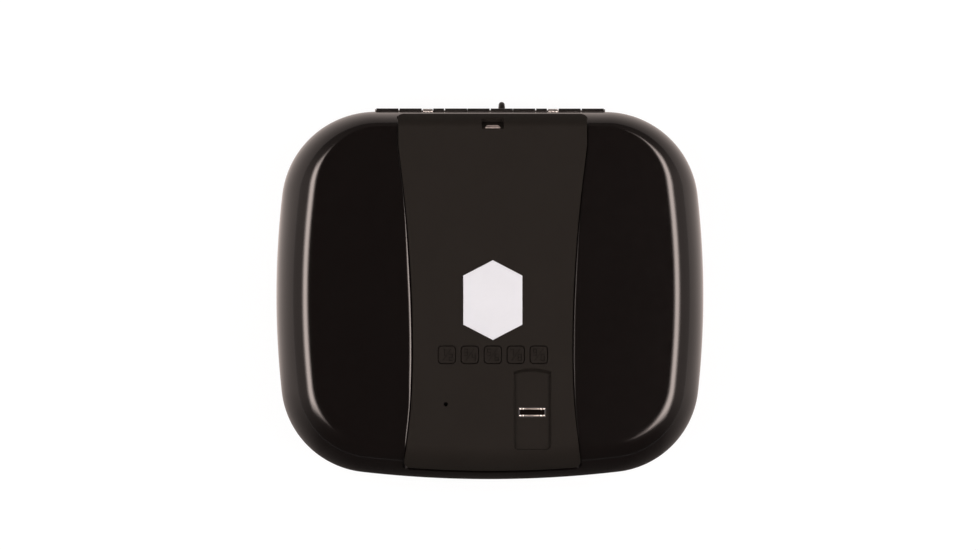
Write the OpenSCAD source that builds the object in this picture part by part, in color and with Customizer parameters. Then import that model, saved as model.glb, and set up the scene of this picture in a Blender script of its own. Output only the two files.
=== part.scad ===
// Biometric lock box: a rounded clamshell case with a rear piano hinge, a raised
// console with five keys and a fingerprint channel, and a motor-driven latch.
// Millimetres. Front faces -Y, the hinge is at +Y, +Z is up, the feet stand on Z = 0.

/* [Case] */
// Width across the sides at the parting line
body_w = 266.7; // [262:0.1:272]
// Depth from the front edge to the rear edge
body_d = 229.4; // [226:0.1:234]
// Height from the floor to the top of the keys
body_h = 70; // [68:0.5:74]
// Height of the parting line between base and lid
parting_z = 34; // [33:0.5:36]
// Radius of the two rear corners in plan
rear_corner_r = 58.5; // [52:0.5:62]
// Radius of the two front corners in plan
front_corner_r = 56.7; // [52:0.5:62]
// Radius of the bow of each side
side_bow_r = 543; // [450:1:700]
// Radius of the bow of the front
front_bow_r = 702; // [600:1:900]
// Thickness of the lid's wall
lid_wall = 2.5; // [2.3:0.1:2.6]
// Thickness of the base's wall and floor
base_wall = 4; // [3.9:0.1:4.2]
// Height of the rubber feet
foot_h = 2; // [1.8:0.1:2.5]

/* [Lid shape] */
// Width of the rounded shoulder at the sides
side_shoulder = 21.4; // [19:0.1:23]
// Width of the rounded shoulder at the front
front_shoulder = 21.3; // [20.5:0.1:22]
// Width of the rounded shoulder at the rear
rear_shoulder = 10.2; // [9.8:0.1:10.6]
// Corner radius of the flat top
plateau_r = 38; // [34:0.5:42]

/* [Console] */
// Half width of the console at its waist
waist_half = 49.3; // [48.9:0.1:50]
// Distance of the waist in front of the middle
waist_y = 36; // [34:0.5:38]
// Rise of the console above the flat top
console_rise = 1.8; // [1.7:0.1:1.9]
// Depth that the console sinks into the lid
console_sink = 1.2; // [1.1:0.1:1.3]
// Width of one key
key_w = 10.5; // [10:0.1:10.8]
// Depth of one key, front to rear
key_d = 10.7; // [10.2:0.1:11]
// Distance between neighbouring keys
key_pitch = 14.3; // [14.1:0.1:14.6]
// Width of the finger channel
channel_w = 23; // [22:0.1:23.4]
// Width of the badge
badge_w = 36.9; // [34:0.1:40]
// Height of the badge
badge_d = 49.7; // [46:0.1:52]

/* [Hinge and latch] */
// Length of the hinge
hinge_len = 142.4; // [140:0.1:143]
// Outside diameter of the hinge barrel
barrel_d = 5.4; // [5.2:0.1:5.5]
// Diameter of the hinge pin
pin_d = 3; // [2.9:0.05:3.1]
// Travel of the latch bar
latch_travel = 6.5; // [6:0.1:6.5]
// Diameter of the tether loop's rod
tether_d = 3.7; // [3.5:0.1:3.8]
// Distance of the tether loop's tip behind the case
tether_reach = 6.5; // [6.3:0.1:7]

/* [Hidden] */
$fn = 48;

half_w = body_w / 2;
half_d = body_d / 2;
rear_y = half_d;
// The box that holds the case and its tether loop is centred on the origin
shift_y = -tether_reach / 2;

parting_gap = 0.6;
rim_lid_z = parting_z + parting_gap / 2;
rim_base_z = parting_z - parting_gap / 2;
console_z = body_h - 0.6;
plateau_z = console_z - console_rise;
lid_rise = plateau_z - rim_lid_z;
lid_ceiling_z = plateau_z - lid_wall;
console_under_z = plateau_z - console_sink;
plateau_front = half_d - front_shoulder;
plateau_rear = half_d - rear_shoulder;

ink = "#211c1a";
soft_grey = "#2b2623";
steel = "#b9bbbe";
dark_steel = "#3a3a3c";
foam_grey = "#34363a";
board_green = "#1f4a2e";
lead_red = "#a02020";

// ---------------------------------------------------------------- outlines

function arc(c, r, a, b, n) =
    [for (i = [0:n]) c + r * [cos(a + (b - a) * i / n), sin(a + (b - a) * i / n)]];
function tail(v) = [for (i = [1:len(v) - 1]) v[i]];
function angle_to(p, q) = atan2(q.y - p.y, q.x - p.x);

// Point at distance rp from p and rq from q, on the front right side
function meet(p, rp, q, rq) =
    let (d = norm(q - p), a = (rp * rp - rq * rq + d * d) / (2 * d), e = (q - p) / d)
    p + a * e + sqrt(rp * rp - a * a) * [e.y, -e.x];

// Rounded plan outline, clockwise from the rear right corner: a straight rear edge,
// bowed sides and front, and four round corners tangent to both neighbours
function plan(hw, front, rear, r_rear, r_front, r_side, r_bow) =
    let (
        side_c = [hw - r_side, 0],
        rear_c = [side_c.x + sqrt(pow(r_side - r_rear, 2) - pow(rear - r_rear, 2)), rear - r_rear],
        bow_c = [0, r_bow - front],
        front_c = meet(side_c, r_side - r_front, bow_c, r_bow - r_front),
        a1 = angle_to(side_c, rear_c),
        a2 = angle_to(side_c, front_c),
        a3 = angle_to(bow_c, front_c),
        right = concat(
            arc(rear_c, r_rear, 90, a1, 8),
            tail(arc(side_c, r_side, a1, a2, 6)),
            tail(arc(front_c, r_front, a2, a3, 8)),
            tail(arc(bow_c, r_bow, a3, -90, 4))
        )
    )
    concat(right, [for (i = [len(right) - 2:-1:0]) [-right[i].x, right[i].y]], [[0, rear]]);

// The case's outline at the parting line, moved in by u
function case_plan(u = 0) =
    plan(half_w - u, half_d - u, rear_y - u, rear_corner_r - u, front_corner_r - u,
        side_bow_r - u, front_bow_r - u);

// The flat top's outline, moved in by u
function plateau_plan(u = 0) =
    plan(half_w - side_shoulder - u, plateau_front - u, plateau_rear - u, plateau_r - u,
        plateau_r - u, side_bow_r - side_shoulder - u, front_bow_r - front_shoulder - u);

function at_height(points, z) = [for (p = points) [p.x, p.y, z]];

// End face of a loft as triangles between the first and second half of its ring
function cap(n, start, flip) =
    [for (i = [0:n / 2 - 2]) let (a = start + i, b = a + 1, c = start + n - 2 - i, d = c + 1)
        each flip ? [[d, b, a], [d, c, b]] : [[a, b, d], [b, c, d]]];

// Solid through a stack of rings with equal, even point counts, lowest ring first
module loft(rings) {
    n = len(rings[0]);
    last = len(rings) - 1;
    polyhedron(
        points = [for (ring = rings) each ring],
        faces = concat(
            cap(n, 0, true),
            [for (k = [0:last - 1]) for (i = [0:n - 1]) let (j = (i + 1) % n)
                each [[k * n + j, (k + 1) * n + j, k * n + i],
                    [(k + 1) * n + j, (k + 1) * n + i, k * n + i]]],
            cap(n, last * n, false)
        )
    );
}

// ------------------------------------------------------------ small helpers

// Moves the case's middle to its place in the frame
module placed() {
    translate([0, shift_y, 0]) children();
}

// Box given by its lowest and highest corners
module block(lo, hi) {
    translate(lo) cube(hi - lo);
}

// Rectangle with round corners, centred
module round_rect(size, r) {
    square([size.x - 2 * r, size.y], center = true);
    square([size.x, size.y - 2 * r], center = true);
    for (sx = [-1, 1], sy = [-1, 1])
        translate([sx * (size.x / 2 - r), sy * (size.y / 2 - r)]) circle(r);
}

module round_plate(centre, size, r, z0, z1) {
    translate([centre.x, centre.y, z0]) linear_extrude(z1 - z0) round_rect(size, r);
}

module rod_z(p, r, z0, z1) {
    translate([p.x, p.y, z0]) cylinder(h = z1 - z0, r = r);
}

module rod_y(x, z, r, y0, y1) {
    translate([x, y1, z]) rotate([90, 0, 0]) cylinder(h = y1 - y0, r = r);
}

module rod_x(y, z, r, x0, x1) {
    translate([x0, y, z]) rotate([0, 90, 0]) cylinder(h = x1 - x0, r = r);
}

// Wire swept along a list of points, with rings square to the path
module wire(path, r, sides = 8) {
    n = len(path);
    loft([for (k = [0:n - 1])
        let (
            dir = path[min(k + 1, n - 1)] - path[max(k - 1, 0)],
            t = dir / norm(dir),
            u0 = cross(t, [1, 0.01, 0]),
            u = u0 / norm(u0),
            v = cross(t, u)
        )
        [for (i = [0:sides - 1]) path[k] + r * (cos(-360 * i / sides) * u + sin(-360 * i / sides) * v)]]);
}

// Smooth points through a chain of corners, as one quadratic curve per inner corner
function mid(a, b) = (a + b) / 2;
function bend(a, b, c, n) =
    [for (i = [1:n]) let (t = i / n) pow(1 - t, 2) * a + 2 * t * (1 - t) * b + t * t * c];
function smooth(p, n = 6) =
    concat([p[0], mid(p[0], p[1])],
        [for (i = [1:len(p) - 2]) each bend(mid(p[i - 1], p[i]), p[i], mid(p[i], p[i + 1]), n)],
        [p[len(p) - 1]]);

// --------------------------------------------------------------------- base

draft_z = 28;
base_edge_r = 8;
base_draft = 1.5;
base_rings = 5;
tongue_in = 2.9;
tongue_h = 2.8;
floor_z = foot_h + base_wall;
mount_x = 75;
mount_y = 60;
mount_r = 3.5;
foot_r = 8;
foot_x = 95;
foot_y = 72;
foam_h = 8;

// Rings of the base from its bottom edge up, moved in by u, with the bottom at z0
function base_stack(u, z0, edge, top) =
    concat(
        [for (i = [base_rings:-1:0]) let (a = 90 * i / base_rings)
            at_height(case_plan(u + base_draft + edge * (1 - cos(a))), z0 + edge * (1 - sin(a)))],
        [at_height(case_plan(u), draft_z), at_height(case_plan(u), top)]
    );

tether_x = 8.1;
tether_z = 15.5;
tether_bend = 6;
tether_tip_y = rear_y + tether_reach;
tether_c_y = tether_tip_y - tether_d / 2 - tether_bend;
tether_pocket_y = rear_y - 2.8;
tether_pad_y = rear_y - 6.2;
nut_r = 3.3;

striker_x = [-30, 30];
striker_y = -94;
striker_front = -107.4;
striker_screw_x = [-44, 44];
striker_screw_z = 24;

module base_shell() placed() color(ink) {
    difference() {
        union() {
            difference() {
                loft(base_stack(0, foot_h, base_edge_r, rim_base_z));
                loft(base_stack(base_wall, floor_z, 5, parting_z + 2));
            }
            base_tongue();
            block([tether_x - 7, tether_pad_y, floor_z - 1], [tether_x + 7, rear_y - 3, base_leaf_z]);
            for (x = striker_screw_x) rod_y(x, striker_screw_z, 4.5, -half_d + 3, striker_front);
        }
        for (x = striker_screw_x) rod_y(x, striker_screw_z, 1.2, -half_d + 3.2, striker_front + 1);
        for (sx = [-1, 1], sy = [-1, 1]) rod_z([sx * mount_x, sy * mount_y], mount_r, 1, floor_z + 1);
        hinge_notch();
        block([-hinge_half - 0.5, rear_y - 6, base_leaf_z - 0.5],
            [hinge_half + 0.5, leaf_outer_y, parting_z + 4]);
        for (x = rivet_x) rod_y(x, parting_z - rivet_dz, rivet_r, rear_y - 3, rear_y + 1);
        block([tether_x - 8, tether_pocket_y, tether_z - 8], [tether_x + 8, rear_y + 1, tether_z + 8]);
        for (s = [-1, 1]) {
            rod_y(tether_x, tether_z + s * tether_bend, tether_d / 2, tether_pad_y - 1, rear_y);
            rod_y(tether_x, tether_z + s * tether_bend, nut_r + 0.4, tether_pad_y - 5, tether_pad_y);
        }
    }
}

// Raised lip just inside the lid's wall that keeps a blade out of the parting gap
module base_tongue() {
    difference() {
        translate([0, 0, rim_base_z - 1]) linear_extrude(tongue_h + 1) difference() {
            polygon(case_plan(tongue_in));
            polygon(case_plan(base_wall));
        }
        block([-hinge_half - 1, rear_y - 8, parting_z - 4], [hinge_half + 1, rear_y, parting_z + 4]);
    }
}

module base_foam() placed() color(foam_grey) {
    translate([0, 0, floor_z]) linear_extrude(foam_h) difference() {
        polygon(case_plan(11));
        for (sx = [-1, 1], sy = [-1, 1]) translate([sx * mount_x, sy * mount_y]) circle(11);
    }
}

module foot(sx, sy) placed() color("#18181a") {
    translate([sx * foot_x, sy * foot_y]) rotate_extrude()
        polygon([[0, 0], [foot_r - 0.6, 0], [foot_r, 0.6], [foot_r, foot_h], [0, foot_h]]);
}
module foot_front_left() foot(-1, -1);
module foot_front_right() foot(1, -1);
module foot_rear_left() foot(-1, 1);
module foot_rear_right() foot(1, 1);

hook_neck = 4;
hook_t = 3;
hook_reach = latch_travel + 0.5;
bar_z = 40;
bar_t = 2;
hook_z = bar_z + bar_t + 0.4;
hook_top = hook_z + 3;
shelf_z = rim_base_z - 0.7;

module striker_bracket() placed() color(steel) {
    difference() {
        union() {
            block([-50, striker_front, 17], [50, striker_front + 2, shelf_z]);
            block([-38, striker_front, shelf_z - 2], [38, striker_y + hook_t / 2, shelf_z]);
        }
        for (x = striker_screw_x) rod_y(x, striker_screw_z, 1.2, striker_front - 1, striker_front + 3);
    }
    for (x = striker_x) {
        block([x, striker_y - hook_t / 2, shelf_z - 1], [x + hook_neck, striker_y + hook_t / 2, hook_top]);
        block([x - hook_reach, striker_y - hook_t / 2, hook_z], [x + 1, striker_y + hook_t / 2, hook_top]);
    }
}

module striker_screws() placed() color(dark_steel) for (x = striker_screw_x) {
    rod_y(x, striker_screw_z, 1.2, -half_d + 3.4, striker_front + 2.5);
    rod_y(x, striker_screw_z, 2.6, striker_front + 2, striker_front + 3.6);
}

module tether_loop() placed() color(dark_steel) {
    for (s = [-1, 1])
        rod_y(tether_x, tether_z + s * tether_bend, tether_d / 2, tether_pad_y - 4, tether_c_y);
    translate([tether_x, tether_c_y, tether_z]) rotate([0, 90, 0])
        rotate_extrude(angle = 180) translate([tether_bend, 0]) circle(d = tether_d);
}

module tether_nuts() placed() color(dark_steel) for (s = [-1, 1])
    translate([tether_x, tether_pad_y, tether_z + s * tether_bend]) rotate([90, 30, 0])
        difference() {
            cylinder(h = 3, r = nut_r, $fn = 6);
            translate([0, 0, -1]) cylinder(h = 5, r = tether_d / 2);
        }

// -------------------------------------------------------------------- hinge

hinge_half = hinge_len / 2 + 1.2;
axis_y = rear_y + 0.05;
barrel_r = barrel_d / 2;
knuckles = 10;
knuckle = hinge_len / knuckles;
leaf_t = 1;
leaf_inner_y = axis_y - barrel_r;
leaf_outer_y = leaf_inner_y + leaf_t;
leaf_h = 10;
base_leaf_z = parting_z - leaf_h;
notch_r = barrel_r + 0.4;
running_gap = 0.05;
// Gaps between knuckles, wide and narrow in turn
knuckle_gaps = [0.3, 0.75];
rivet_x = [for (i = [-2.5:1:2.5]) i * 21];
rivet_dz = 6.5;
rivet_r = 1.2;
// The springs take half of the third knuckle from each end
spring_len = knuckle / 2;
spring_x = hinge_len / 2 - 2 * knuckle;

// Space around the barrel that both walls leave free
module hinge_notch() {
    rod_x(axis_y, parting_z, notch_r, -hinge_half, hinge_half);
}

// Span of knuckle k from the left, shortened where a spring takes its place
function knuckle_x(k) =
    let (
        x0 = -hinge_len / 2 + k * knuckle + (k == 2 ? spring_len : 0),
        x1 = -hinge_len / 2 + (k + 1) * knuckle - (k == knuckles - 3 ? spring_len : 0)
    )
    [x0 + knuckle_gaps[k % 2] / 2, x1 - knuckle_gaps[(k + 1) % 2] / 2];

// Leaf plate with the knuckles of one side; side is 1 for the lid and -1 for the base
module leaf(first, side, bore) {
    difference() {
        union() {
            difference() {
                block([-hinge_len / 2, leaf_inner_y, min(parting_z, parting_z + side * leaf_h)],
                    [hinge_len / 2, leaf_outer_y, max(parting_z, parting_z + side * leaf_h)]);
                for (k = [1 - first:2:knuckles - 1]) {
                    x = -hinge_len / 2 + k * knuckle;
                    block([x - 0.15, axis_y - 4, parting_z - notch_r],
                        [x + knuckle + 0.15, axis_y, parting_z + notch_r]);
                }
                for (x = [-spring_x, spring_x - spring_len])
                    block([x - 0.15, axis_y - 4, parting_z - notch_r],
                        [x + spring_len + 0.15, axis_y, parting_z + notch_r]);
            }
            for (k = [first:2:knuckles - 1])
                rod_x(axis_y, parting_z, barrel_r, knuckle_x(k)[0], knuckle_x(k)[1]);
        }
        rod_x(axis_y, parting_z, bore, -hinge_half, hinge_half);
        for (x = rivet_x) rod_y(x, parting_z + side * rivet_dz, rivet_r, axis_y - 4, axis_y);
    }
}

module hinge_base_leaf() placed() color(dark_steel) leaf(0, -1, pin_d / 2);
module hinge_lid_leaf() placed() color(dark_steel) leaf(1, 1, pin_d / 2 + running_gap);

module hinge_pin() placed() color(steel) {
    rod_x(axis_y, parting_z, pin_d / 2, -hinge_len / 2 - 0.1, hinge_len / 2 + 0.1);
    for (s = [-1, 1])
        rod_x(axis_y, parting_z, 2.2, s * (hinge_len / 2 + 0.4) - 0.35, s * (hinge_len / 2 + 0.4) + 0.35);
}

module rivets(side) placed() color(dark_steel) for (x = rivet_x) {
    rod_y(x, parting_z + side * rivet_dz, rivet_r, leaf_inner_y - 0.2, rear_y - 0.1);
    rod_y(x, parting_z + side * rivet_dz, 2.2, leaf_inner_y - 0.8, leaf_inner_y);
}
module hinge_base_rivets() rivets(-1);
module hinge_lid_rivets() rivets(1);

spring_wire = 0.84;
spring_turns = 7;
spring_r = pin_d / 2 + 0.2 + spring_wire / 2;
spring_leg_y = leaf_inner_y - 0.6;
leg_r = spring_wire / 2 - 0.04;

// Torsion spring on the pin: close-wound turns and two legs that press on the leaves
module lift_spring(s) placed() color("#d8d8d6") {
    pitch = (spring_len - 0.8) / spring_turns;
    translate([s * (spring_x - spring_len / 2) - pitch * (spring_turns - 1) / 2, axis_y, parting_z])
        rotate([0, 90, 0]) rotate_extrude() union() {
            for (i = [0:spring_turns - 1]) translate([spring_r, i * pitch]) circle(d = spring_wire);
            translate([spring_r - 0.25, 0]) square([0.3, pitch * (spring_turns - 1)]);
        }
    for (side = [-1, 1]) {
        x = s * (spring_x - spring_len / 2) + side * pitch * (spring_turns - 1) / 2;
        slant = [spring_leg_y - axis_y + spring_r, side * 2.8];
        translate([x, axis_y - spring_r, parting_z]) rotate([atan2(-slant.x, slant.y), 0, 0])
            cylinder(h = norm(slant), r = leg_r);
        rod_z([x, spring_leg_y], leg_r + 0.02, parting_z + (side < 0 ? -9 : 2.5),
            parting_z + (side < 0 ? -2.5 : 9));
    }
}
module lift_spring_left() lift_spring(-1);
module lift_spring_right() lift_spring(1);

// ---------------------------------------------------------------------- lid

lid_steps = 9;
window_x = 43;
window_front = -91;
window_rear = 98;
console_gap = 0.5;
seat_gap = 0.04;
post_frame = [49.5, -80];
boss_cover_y = [-46, 88];
boss_cover_x = 52;
boss_r = 3.5;
console_screw_x = 46;
console_screw_y = [-60, 20, 70];

// Rings of the lid from its rim to its flat top, moved in by u
function lid_stack(u, z0, z1) =
    [for (i = [0:lid_steps])
        let (a = 90 * i / lid_steps, c = cos(a), low = case_plan(u), high = plateau_plan(u))
        at_height(high + (low - high) * c, z0 + (z1 - z0) * sin(a))];

module lid_shell() placed() color(ink) {
    difference() {
        union() {
            difference() {
                loft(lid_stack(0, rim_lid_z, plateau_z));
                loft(concat([at_height(case_plan(lid_wall), rim_lid_z - 2)],
                    lid_stack(lid_wall, rim_lid_z, lid_ceiling_z)));
            }
            for (s = [-1, 1]) {
                rod_z([s * post_frame.x, post_frame.y], boss_r, frame_z + frame_t, lid_ceiling_z + 0.5);
                for (y = boss_cover_y)
                    rod_z([s * boss_cover_x, y], boss_r, cover_z + cover_t, lid_ceiling_z + 0.5);
            }
        }
        console_solid(console_gap, 6, console_sink + seat_gap);
        round_plate([0, (window_front + window_rear) / 2],
            [2 * window_x, window_rear - window_front], 6, lid_ceiling_z - 1, plateau_z + 1);
        hinge_notch();
        block([-hinge_half - 0.5, rear_y - 6, parting_z - 3],
            [hinge_half + 0.5, leaf_outer_y, parting_z + leaf_h + 0.5]);
        for (x = rivet_x) rod_y(x, parting_z + rivet_dz, rivet_r, rear_y - 3, rear_y + 1);
        at_usb() block([-8, -5.5, -14], [8, 6, 10]);
        for (s = [-1, 1]) {
            rod_z([s * post_frame.x, post_frame.y], 1.2, frame_z, frame_z + 8);
            for (y = boss_cover_y) rod_z([s * boss_cover_x, y], 1.4, cover_z, cover_z + 12);
            for (y = console_screw_y) rod_z([s * console_screw_x, y], 1, lid_ceiling_z - 1, plateau_z);
        }
    }
}

// ------------------------------------------------------------------ console

waist_r_rear = 893;
waist_r_front = 445;
// The flare towards the rear eases off from here, and has ended at the second value
flare_y = [75, 94];
flare_ease = 0.0008;
console_corner = 5.5;
console_chamfer = 0.6;
console_edge = console_rise - console_chamfer;
front_end_a = 47;
rear_end_a = 45;

function console_half(y) =
    let (v = min(y, flare_y[1]))
    waist_half + pow(v + waist_y, 2) / (2 * (v > -waist_y ? waist_r_rear : waist_r_front))
        - flare_ease * pow(max(0, v - flare_y[0]), 2);

// Point and unit normal of the lid's middle line, at angle a on a shoulder of width w
function shoulder(sign, start, w, a) =
    let (n = [cos(a) / w, sin(a) / lid_rise])
    [[sign * (start + w * cos(a)), rim_lid_z + lid_rise * sin(a)], [sign * n.x, n.y] / norm(n)];

flat_steps = 14;
end_steps = 8;
// Stations along the console from its front end over the flat top to its rear end;
// extra moves only the two end stations outwards
function stations(extra) = concat(
    [for (i = [0:end_steps - 1])
        let (a = front_end_a + (90 - front_end_a) * i / end_steps - (i == 0 ? extra * 1.6 : 0))
        shoulder(-1, plateau_front, front_shoulder, a)],
    [for (i = [0:flat_steps])
        [[-plateau_front + (plateau_front + plateau_rear) * i / flat_steps, plateau_z], [0, 1]]],
    [for (i = [end_steps - 1:-1:0])
        let (a = rear_end_a + (90 - rear_end_a) * i / end_steps - (i == 0 ? extra * 1.2 : 0))
        shoulder(1, plateau_rear, rear_shoulder, a)]
);

// Distance along the stations from one end
function run_length(st, k) = k == 0 ? 0 : run_length(st, k - 1) + norm(st[k][0] - st[k - 1][0]);

// Half width lost to the round corner at distance d from the end
function corner_loss(d) =
    d >= console_corner ? 0
    : console_corner - sqrt(pow(console_corner, 2) - pow(console_corner - d, 2));

// The front of the lid is bowed, so the console's front end bends back towards its sides
function bow_back(x, y) = max(0, min(1, (-y - 60) / 30)) * x * x / (2 * front_bow_r);

// Console body: a plate that follows the flat top and bends down over both shoulders
module console_solid(grow, rise, sink) {
    st = stations(grow);
    n = len(st);
    total = run_length(st, n - 1);
    cols = [-1, -0.97, -0.65, -0.3, 0, 0.3, 0.65, 0.97, 1];
    m = len(cols);
    rows = [for (k = [0:n - 1])
        let (
            p = st[k][0], nv = st[k][1], s = run_length(st, k), d = min(s, total - s),
            half = console_half(p.x) + grow - corner_loss(d)
        )
        [for (level = [0, 1]) for (c = cols)
            let (
                x = half * (abs(c) == 0.97 ? sign(c) * (1 - console_chamfer / half) : c),
                edge = abs(c) == 1 ? 0 : min(1, d / console_chamfer),
                h = level == 0 ? -sink
                    : rise > 5 ? rise : console_edge + (rise - console_edge) * edge
            )
            [x, p.x + h * nv.x + bow_back(x, p.x), p.y + h * nv.y]]];
    // Each row is a closed loop: lower points left to right, then upper points right to left
    loops = [for (r = rows) concat([for (i = [0:m - 1]) r[i]], [for (i = [m - 1:-1:0]) r[m + i]])];
    loft(loops);
}

// Middle of the charging port's recess floor, and the rise of the port's axis
usb_at = [0, 106, 65.6];
usb_rise = 33;
usb_shell = [9.4, 4];
// Middle of the port's mouth along the recess floor
usb_mouth_y = -1.7;

// Draws children in the port's own frame: Z leaves the port, Y runs down the recess floor
module at_usb() {
    translate(usb_at) rotate([usb_rise - 90, 0, 0]) children();
}

// Port's mouth outline, wide side up, moved in by u
module usb_outline(u) {
    w = usb_shell.x / 2 - u;
    h = usb_shell.y / 2 - u;
    translate([0, usb_mouth_y]) polygon([[-w, -h], [w, -h], [w - 1.2, h], [1.2 - w, h]]);
}

key_y = -36.8;
function key_x(k) = (k - 3) * key_pitch;
key_gap = 0.35;
channel_x = 24.7;
channel_rear = -46;
channel_front = -95.9;
channel_corner = 3;
channel_arc_r = 36;
channel_floor = console_z - 2.5;
pan_z = channel_floor - 2.5;
sensor_at = [24.6, -72.5];
bezel_size = [17.2, 6.2];
die_size = [15.2, 3.2];
sound_at = [-29.2, -67.5];
badge_y = -2.8;
badge_z = body_h - 1;
board_z = console_under_z - 6;
board_t = 1.6;
board_top = board_z + board_t;
standoffs = [[-38, -78], [39.5, -78], [-38, -25.5], [38, -25.5]];

// Finger channel: two round corners in front and a shallow arc at the rear
module channel_outline() {
    w = channel_w;
    l = channel_rear - channel_front;
    r = channel_corner;
    translate([channel_x, channel_front]) {
        intersection() {
            translate([-w / 2, r]) square([w, l - r]);
            translate([0, l - channel_arc_r]) circle(channel_arc_r, $fn = 180);
        }
        translate([-w / 2 + r, 0]) square([w - 2 * r, r + 0.1]);
        for (s = [-1, 1]) translate([s * (w / 2 - r), r]) circle(r);
    }
}

module console() placed() color(soft_grey) {
    difference() {
        union() {
            console_solid(0, console_rise, console_sink);
            block([channel_x - 12.4, -90, pan_z],
                [channel_x + 12.4, channel_rear + 1.3, console_under_z + 1]);
            for (p = standoffs) rod_z(p, 2.8, board_top, console_under_z + 0.5);
            at_usb() block([-7.7, -4.5, -3], [7.7, 5, 0]);
        }
        for (k = [1:5])
            round_plate([key_x(k), key_y], [key_w, key_d] + [2, 2] * key_gap, 2.4, pan_z, body_h + 1);
        translate([0, 0, channel_floor]) linear_extrude(8) channel_outline();
        round_plate(sensor_at, bezel_size, 0.8, pan_z - 1, body_h);
        rod_z(sound_at, 1.15, pan_z, body_h);
        translate([0, badge_y, badge_z]) linear_extrude(3) badge_outline();
        at_usb() block([-6.9, -5, 0], [6.9, 4.2, 12]);
        at_usb() translate([0, 0, -9]) linear_extrude(12) usb_outline(0);
        for (p = standoffs) rod_z(p, 1, board_top - 1, console_under_z);
        for (s = [-1, 1]) for (y = console_screw_y)
            rod_z([s * console_screw_x, y], 1, console_under_z - 1, console_under_z + 1.8);
    }
}

// Long six-sided outline with a point to the rear and a point to the front
module badge_outline() {
    shoulder_d = badge_d / 2 - badge_w * 0.26;
    polygon([
        [0, badge_d / 2], [badge_w / 2, shoulder_d], [badge_w / 2, -shoulder_d],
        [0, -badge_d / 2], [-badge_w / 2, -shoulder_d], [-badge_w / 2, shoulder_d]
    ]);
}

module badge() placed() color("#f0e8ea") {
    translate([0, badge_y, badge_z]) linear_extrude(body_h - badge_z) badge_outline();
}

module fingerprint_sensor() placed() color("#1c1512") {
    round_plate(sensor_at, die_size, 0.4, pan_z + 0.5, channel_floor + 0.3);
}

module sensor_bezel() placed() color(steel) {
    difference() {
        round_plate(sensor_at, bezel_size, 0.8, pan_z + 0.6, channel_floor + 0.5);
        round_plate(sensor_at, die_size, 0.4, pan_z, channel_floor + 1);
    }
}

module usb_port() placed() color(steel) at_usb() {
    difference() {
        translate([0, 0, -7.5]) linear_extrude(8.1) usb_outline(0);
        translate([0, 0, -6]) linear_extrude(8) usb_outline(0.45);
    }
    block([-2.8, usb_mouth_y - 0.5, -6.5], [2.8, usb_mouth_y + 0.4, -0.6]);
}

// ------------------------------------------------------- keys and electronics

mat_t = 1;
key_travel = 0.8;
flange_size = [12.6, 12.8];
flange_top = console_under_z - 0.1;

module keypad_mat() placed() color("#2a2a2c") {
    translate([0, 0, board_top]) linear_extrude(mat_t) difference() {
        translate([0, key_y]) square([5 * key_pitch + 3, 16], center = true);
        for (k = [1:5]) translate([key_x(k), key_y]) circle(4.4);
    }
}

module key(k) placed() color("#2f2a27") {
    p = [key_x(k), key_y];
    round_plate(p, [key_w, key_d], 2.1, flange_top - 0.5, body_h);
    round_plate(p, flange_size, 2.4, flange_top - 1, flange_top);
    rod_z(p, 3.5, board_top + key_travel + 0.1, flange_top - 0.5);
}
module key_1() key(1);
module key_2() key(2);
module key_3() key(3);
module key_4() key(4);
module key_5() key(5);

module control_board() placed() color(board_green) {
    difference() {
        block([-42, -84, board_z], [42, -21, board_top]);
        for (p = standoffs) rod_z(p, 1, board_z - 1, board_top + 1);
    }
    block([-14, -70, board_z - 1.2], [-4, -60, board_z]);
    block([4, -50, board_z - 1.5], [16, -38, board_z]);
    block([-36, -36, board_z - 2.2], [-24, -30, board_z]);
}

module buzzer() placed() color("#141416") {
    difference() {
        rod_z(sound_at, 5, board_top, console_under_z - 1);
        rod_z(sound_at, 1, console_under_z - 2, console_under_z);
    }
}

module sensor_ribbon() placed() color("#a86c2c") {
    translate([sensor_at.x - 3, 0, 0]) rotate([90, 0, 90]) linear_extrude(6)
        polygon([[sensor_at.y - 1, pan_z + 0.5], [sensor_at.y + 1, pan_z + 0.5],
            [sensor_at.y + 4, pan_z - 0.4], [sensor_at.y + 12, board_top + 0.3],
            [sensor_at.y + 12, board_top], [sensor_at.y + 4, pan_z - 0.7],
            [sensor_at.y + 1, pan_z + 0.2], [sensor_at.y - 1, pan_z + 0.2]]);
}

module screw_up(p, r, head_r, z0, z1) {
    rod_z(p, r, z0, z1);
    rod_z(p, head_r, z0 - 1.3, z0);
}
module board_screws() placed() color(steel) for (p = standoffs) screw_up(p, 1, 2, board_z, board_top + 3);
module console_screws() placed() color(steel) for (s = [-1, 1]) for (y = console_screw_y)
    screw_up([s * console_screw_x, y], 1, 2, lid_ceiling_z, console_under_z + 1.7);
module frame_screws() placed() color(steel) for (s = [-1, 1])
    screw_up([s * post_frame.x, post_frame.y], 1.2, 2.4, frame_z, frame_z + 7);
module cover_screws() placed() color(dark_steel) for (s = [-1, 1]) for (y = boss_cover_y)
    screw_up([s * boss_cover_x, y], 1.4, 2.8, cover_z, cover_z + 10);

// --------------------------------------------------------------- inner cover

cover_x = 58;
cover_front = -103.2;
cover_rear = 98;
cover_z = 36;
cover_t = 1.6;
cover_side_t = 2;
cover_top = lid_ceiling_z - 0.8;
door_half = 33;
door_front = 18;
door_rear = 97;
door_z = 34.3;
door_t = 1.5;
door_travel = 12;
well = [30, 21.5, 77.5];

// Side profile of the cover, its front corner cut back under the lid's shoulder
module cover_profile(u) {
    polygon([[cover_front + u, cover_z + (u > 0 ? cover_t : 0)], [cover_front + u, 53],
        [-90 + u, cover_top - 1], [-90 + u, cover_top + u], [cover_rear - u, cover_top + u],
        [cover_rear - u, cover_z + (u > 0 ? cover_t : 0)]]);
}

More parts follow.
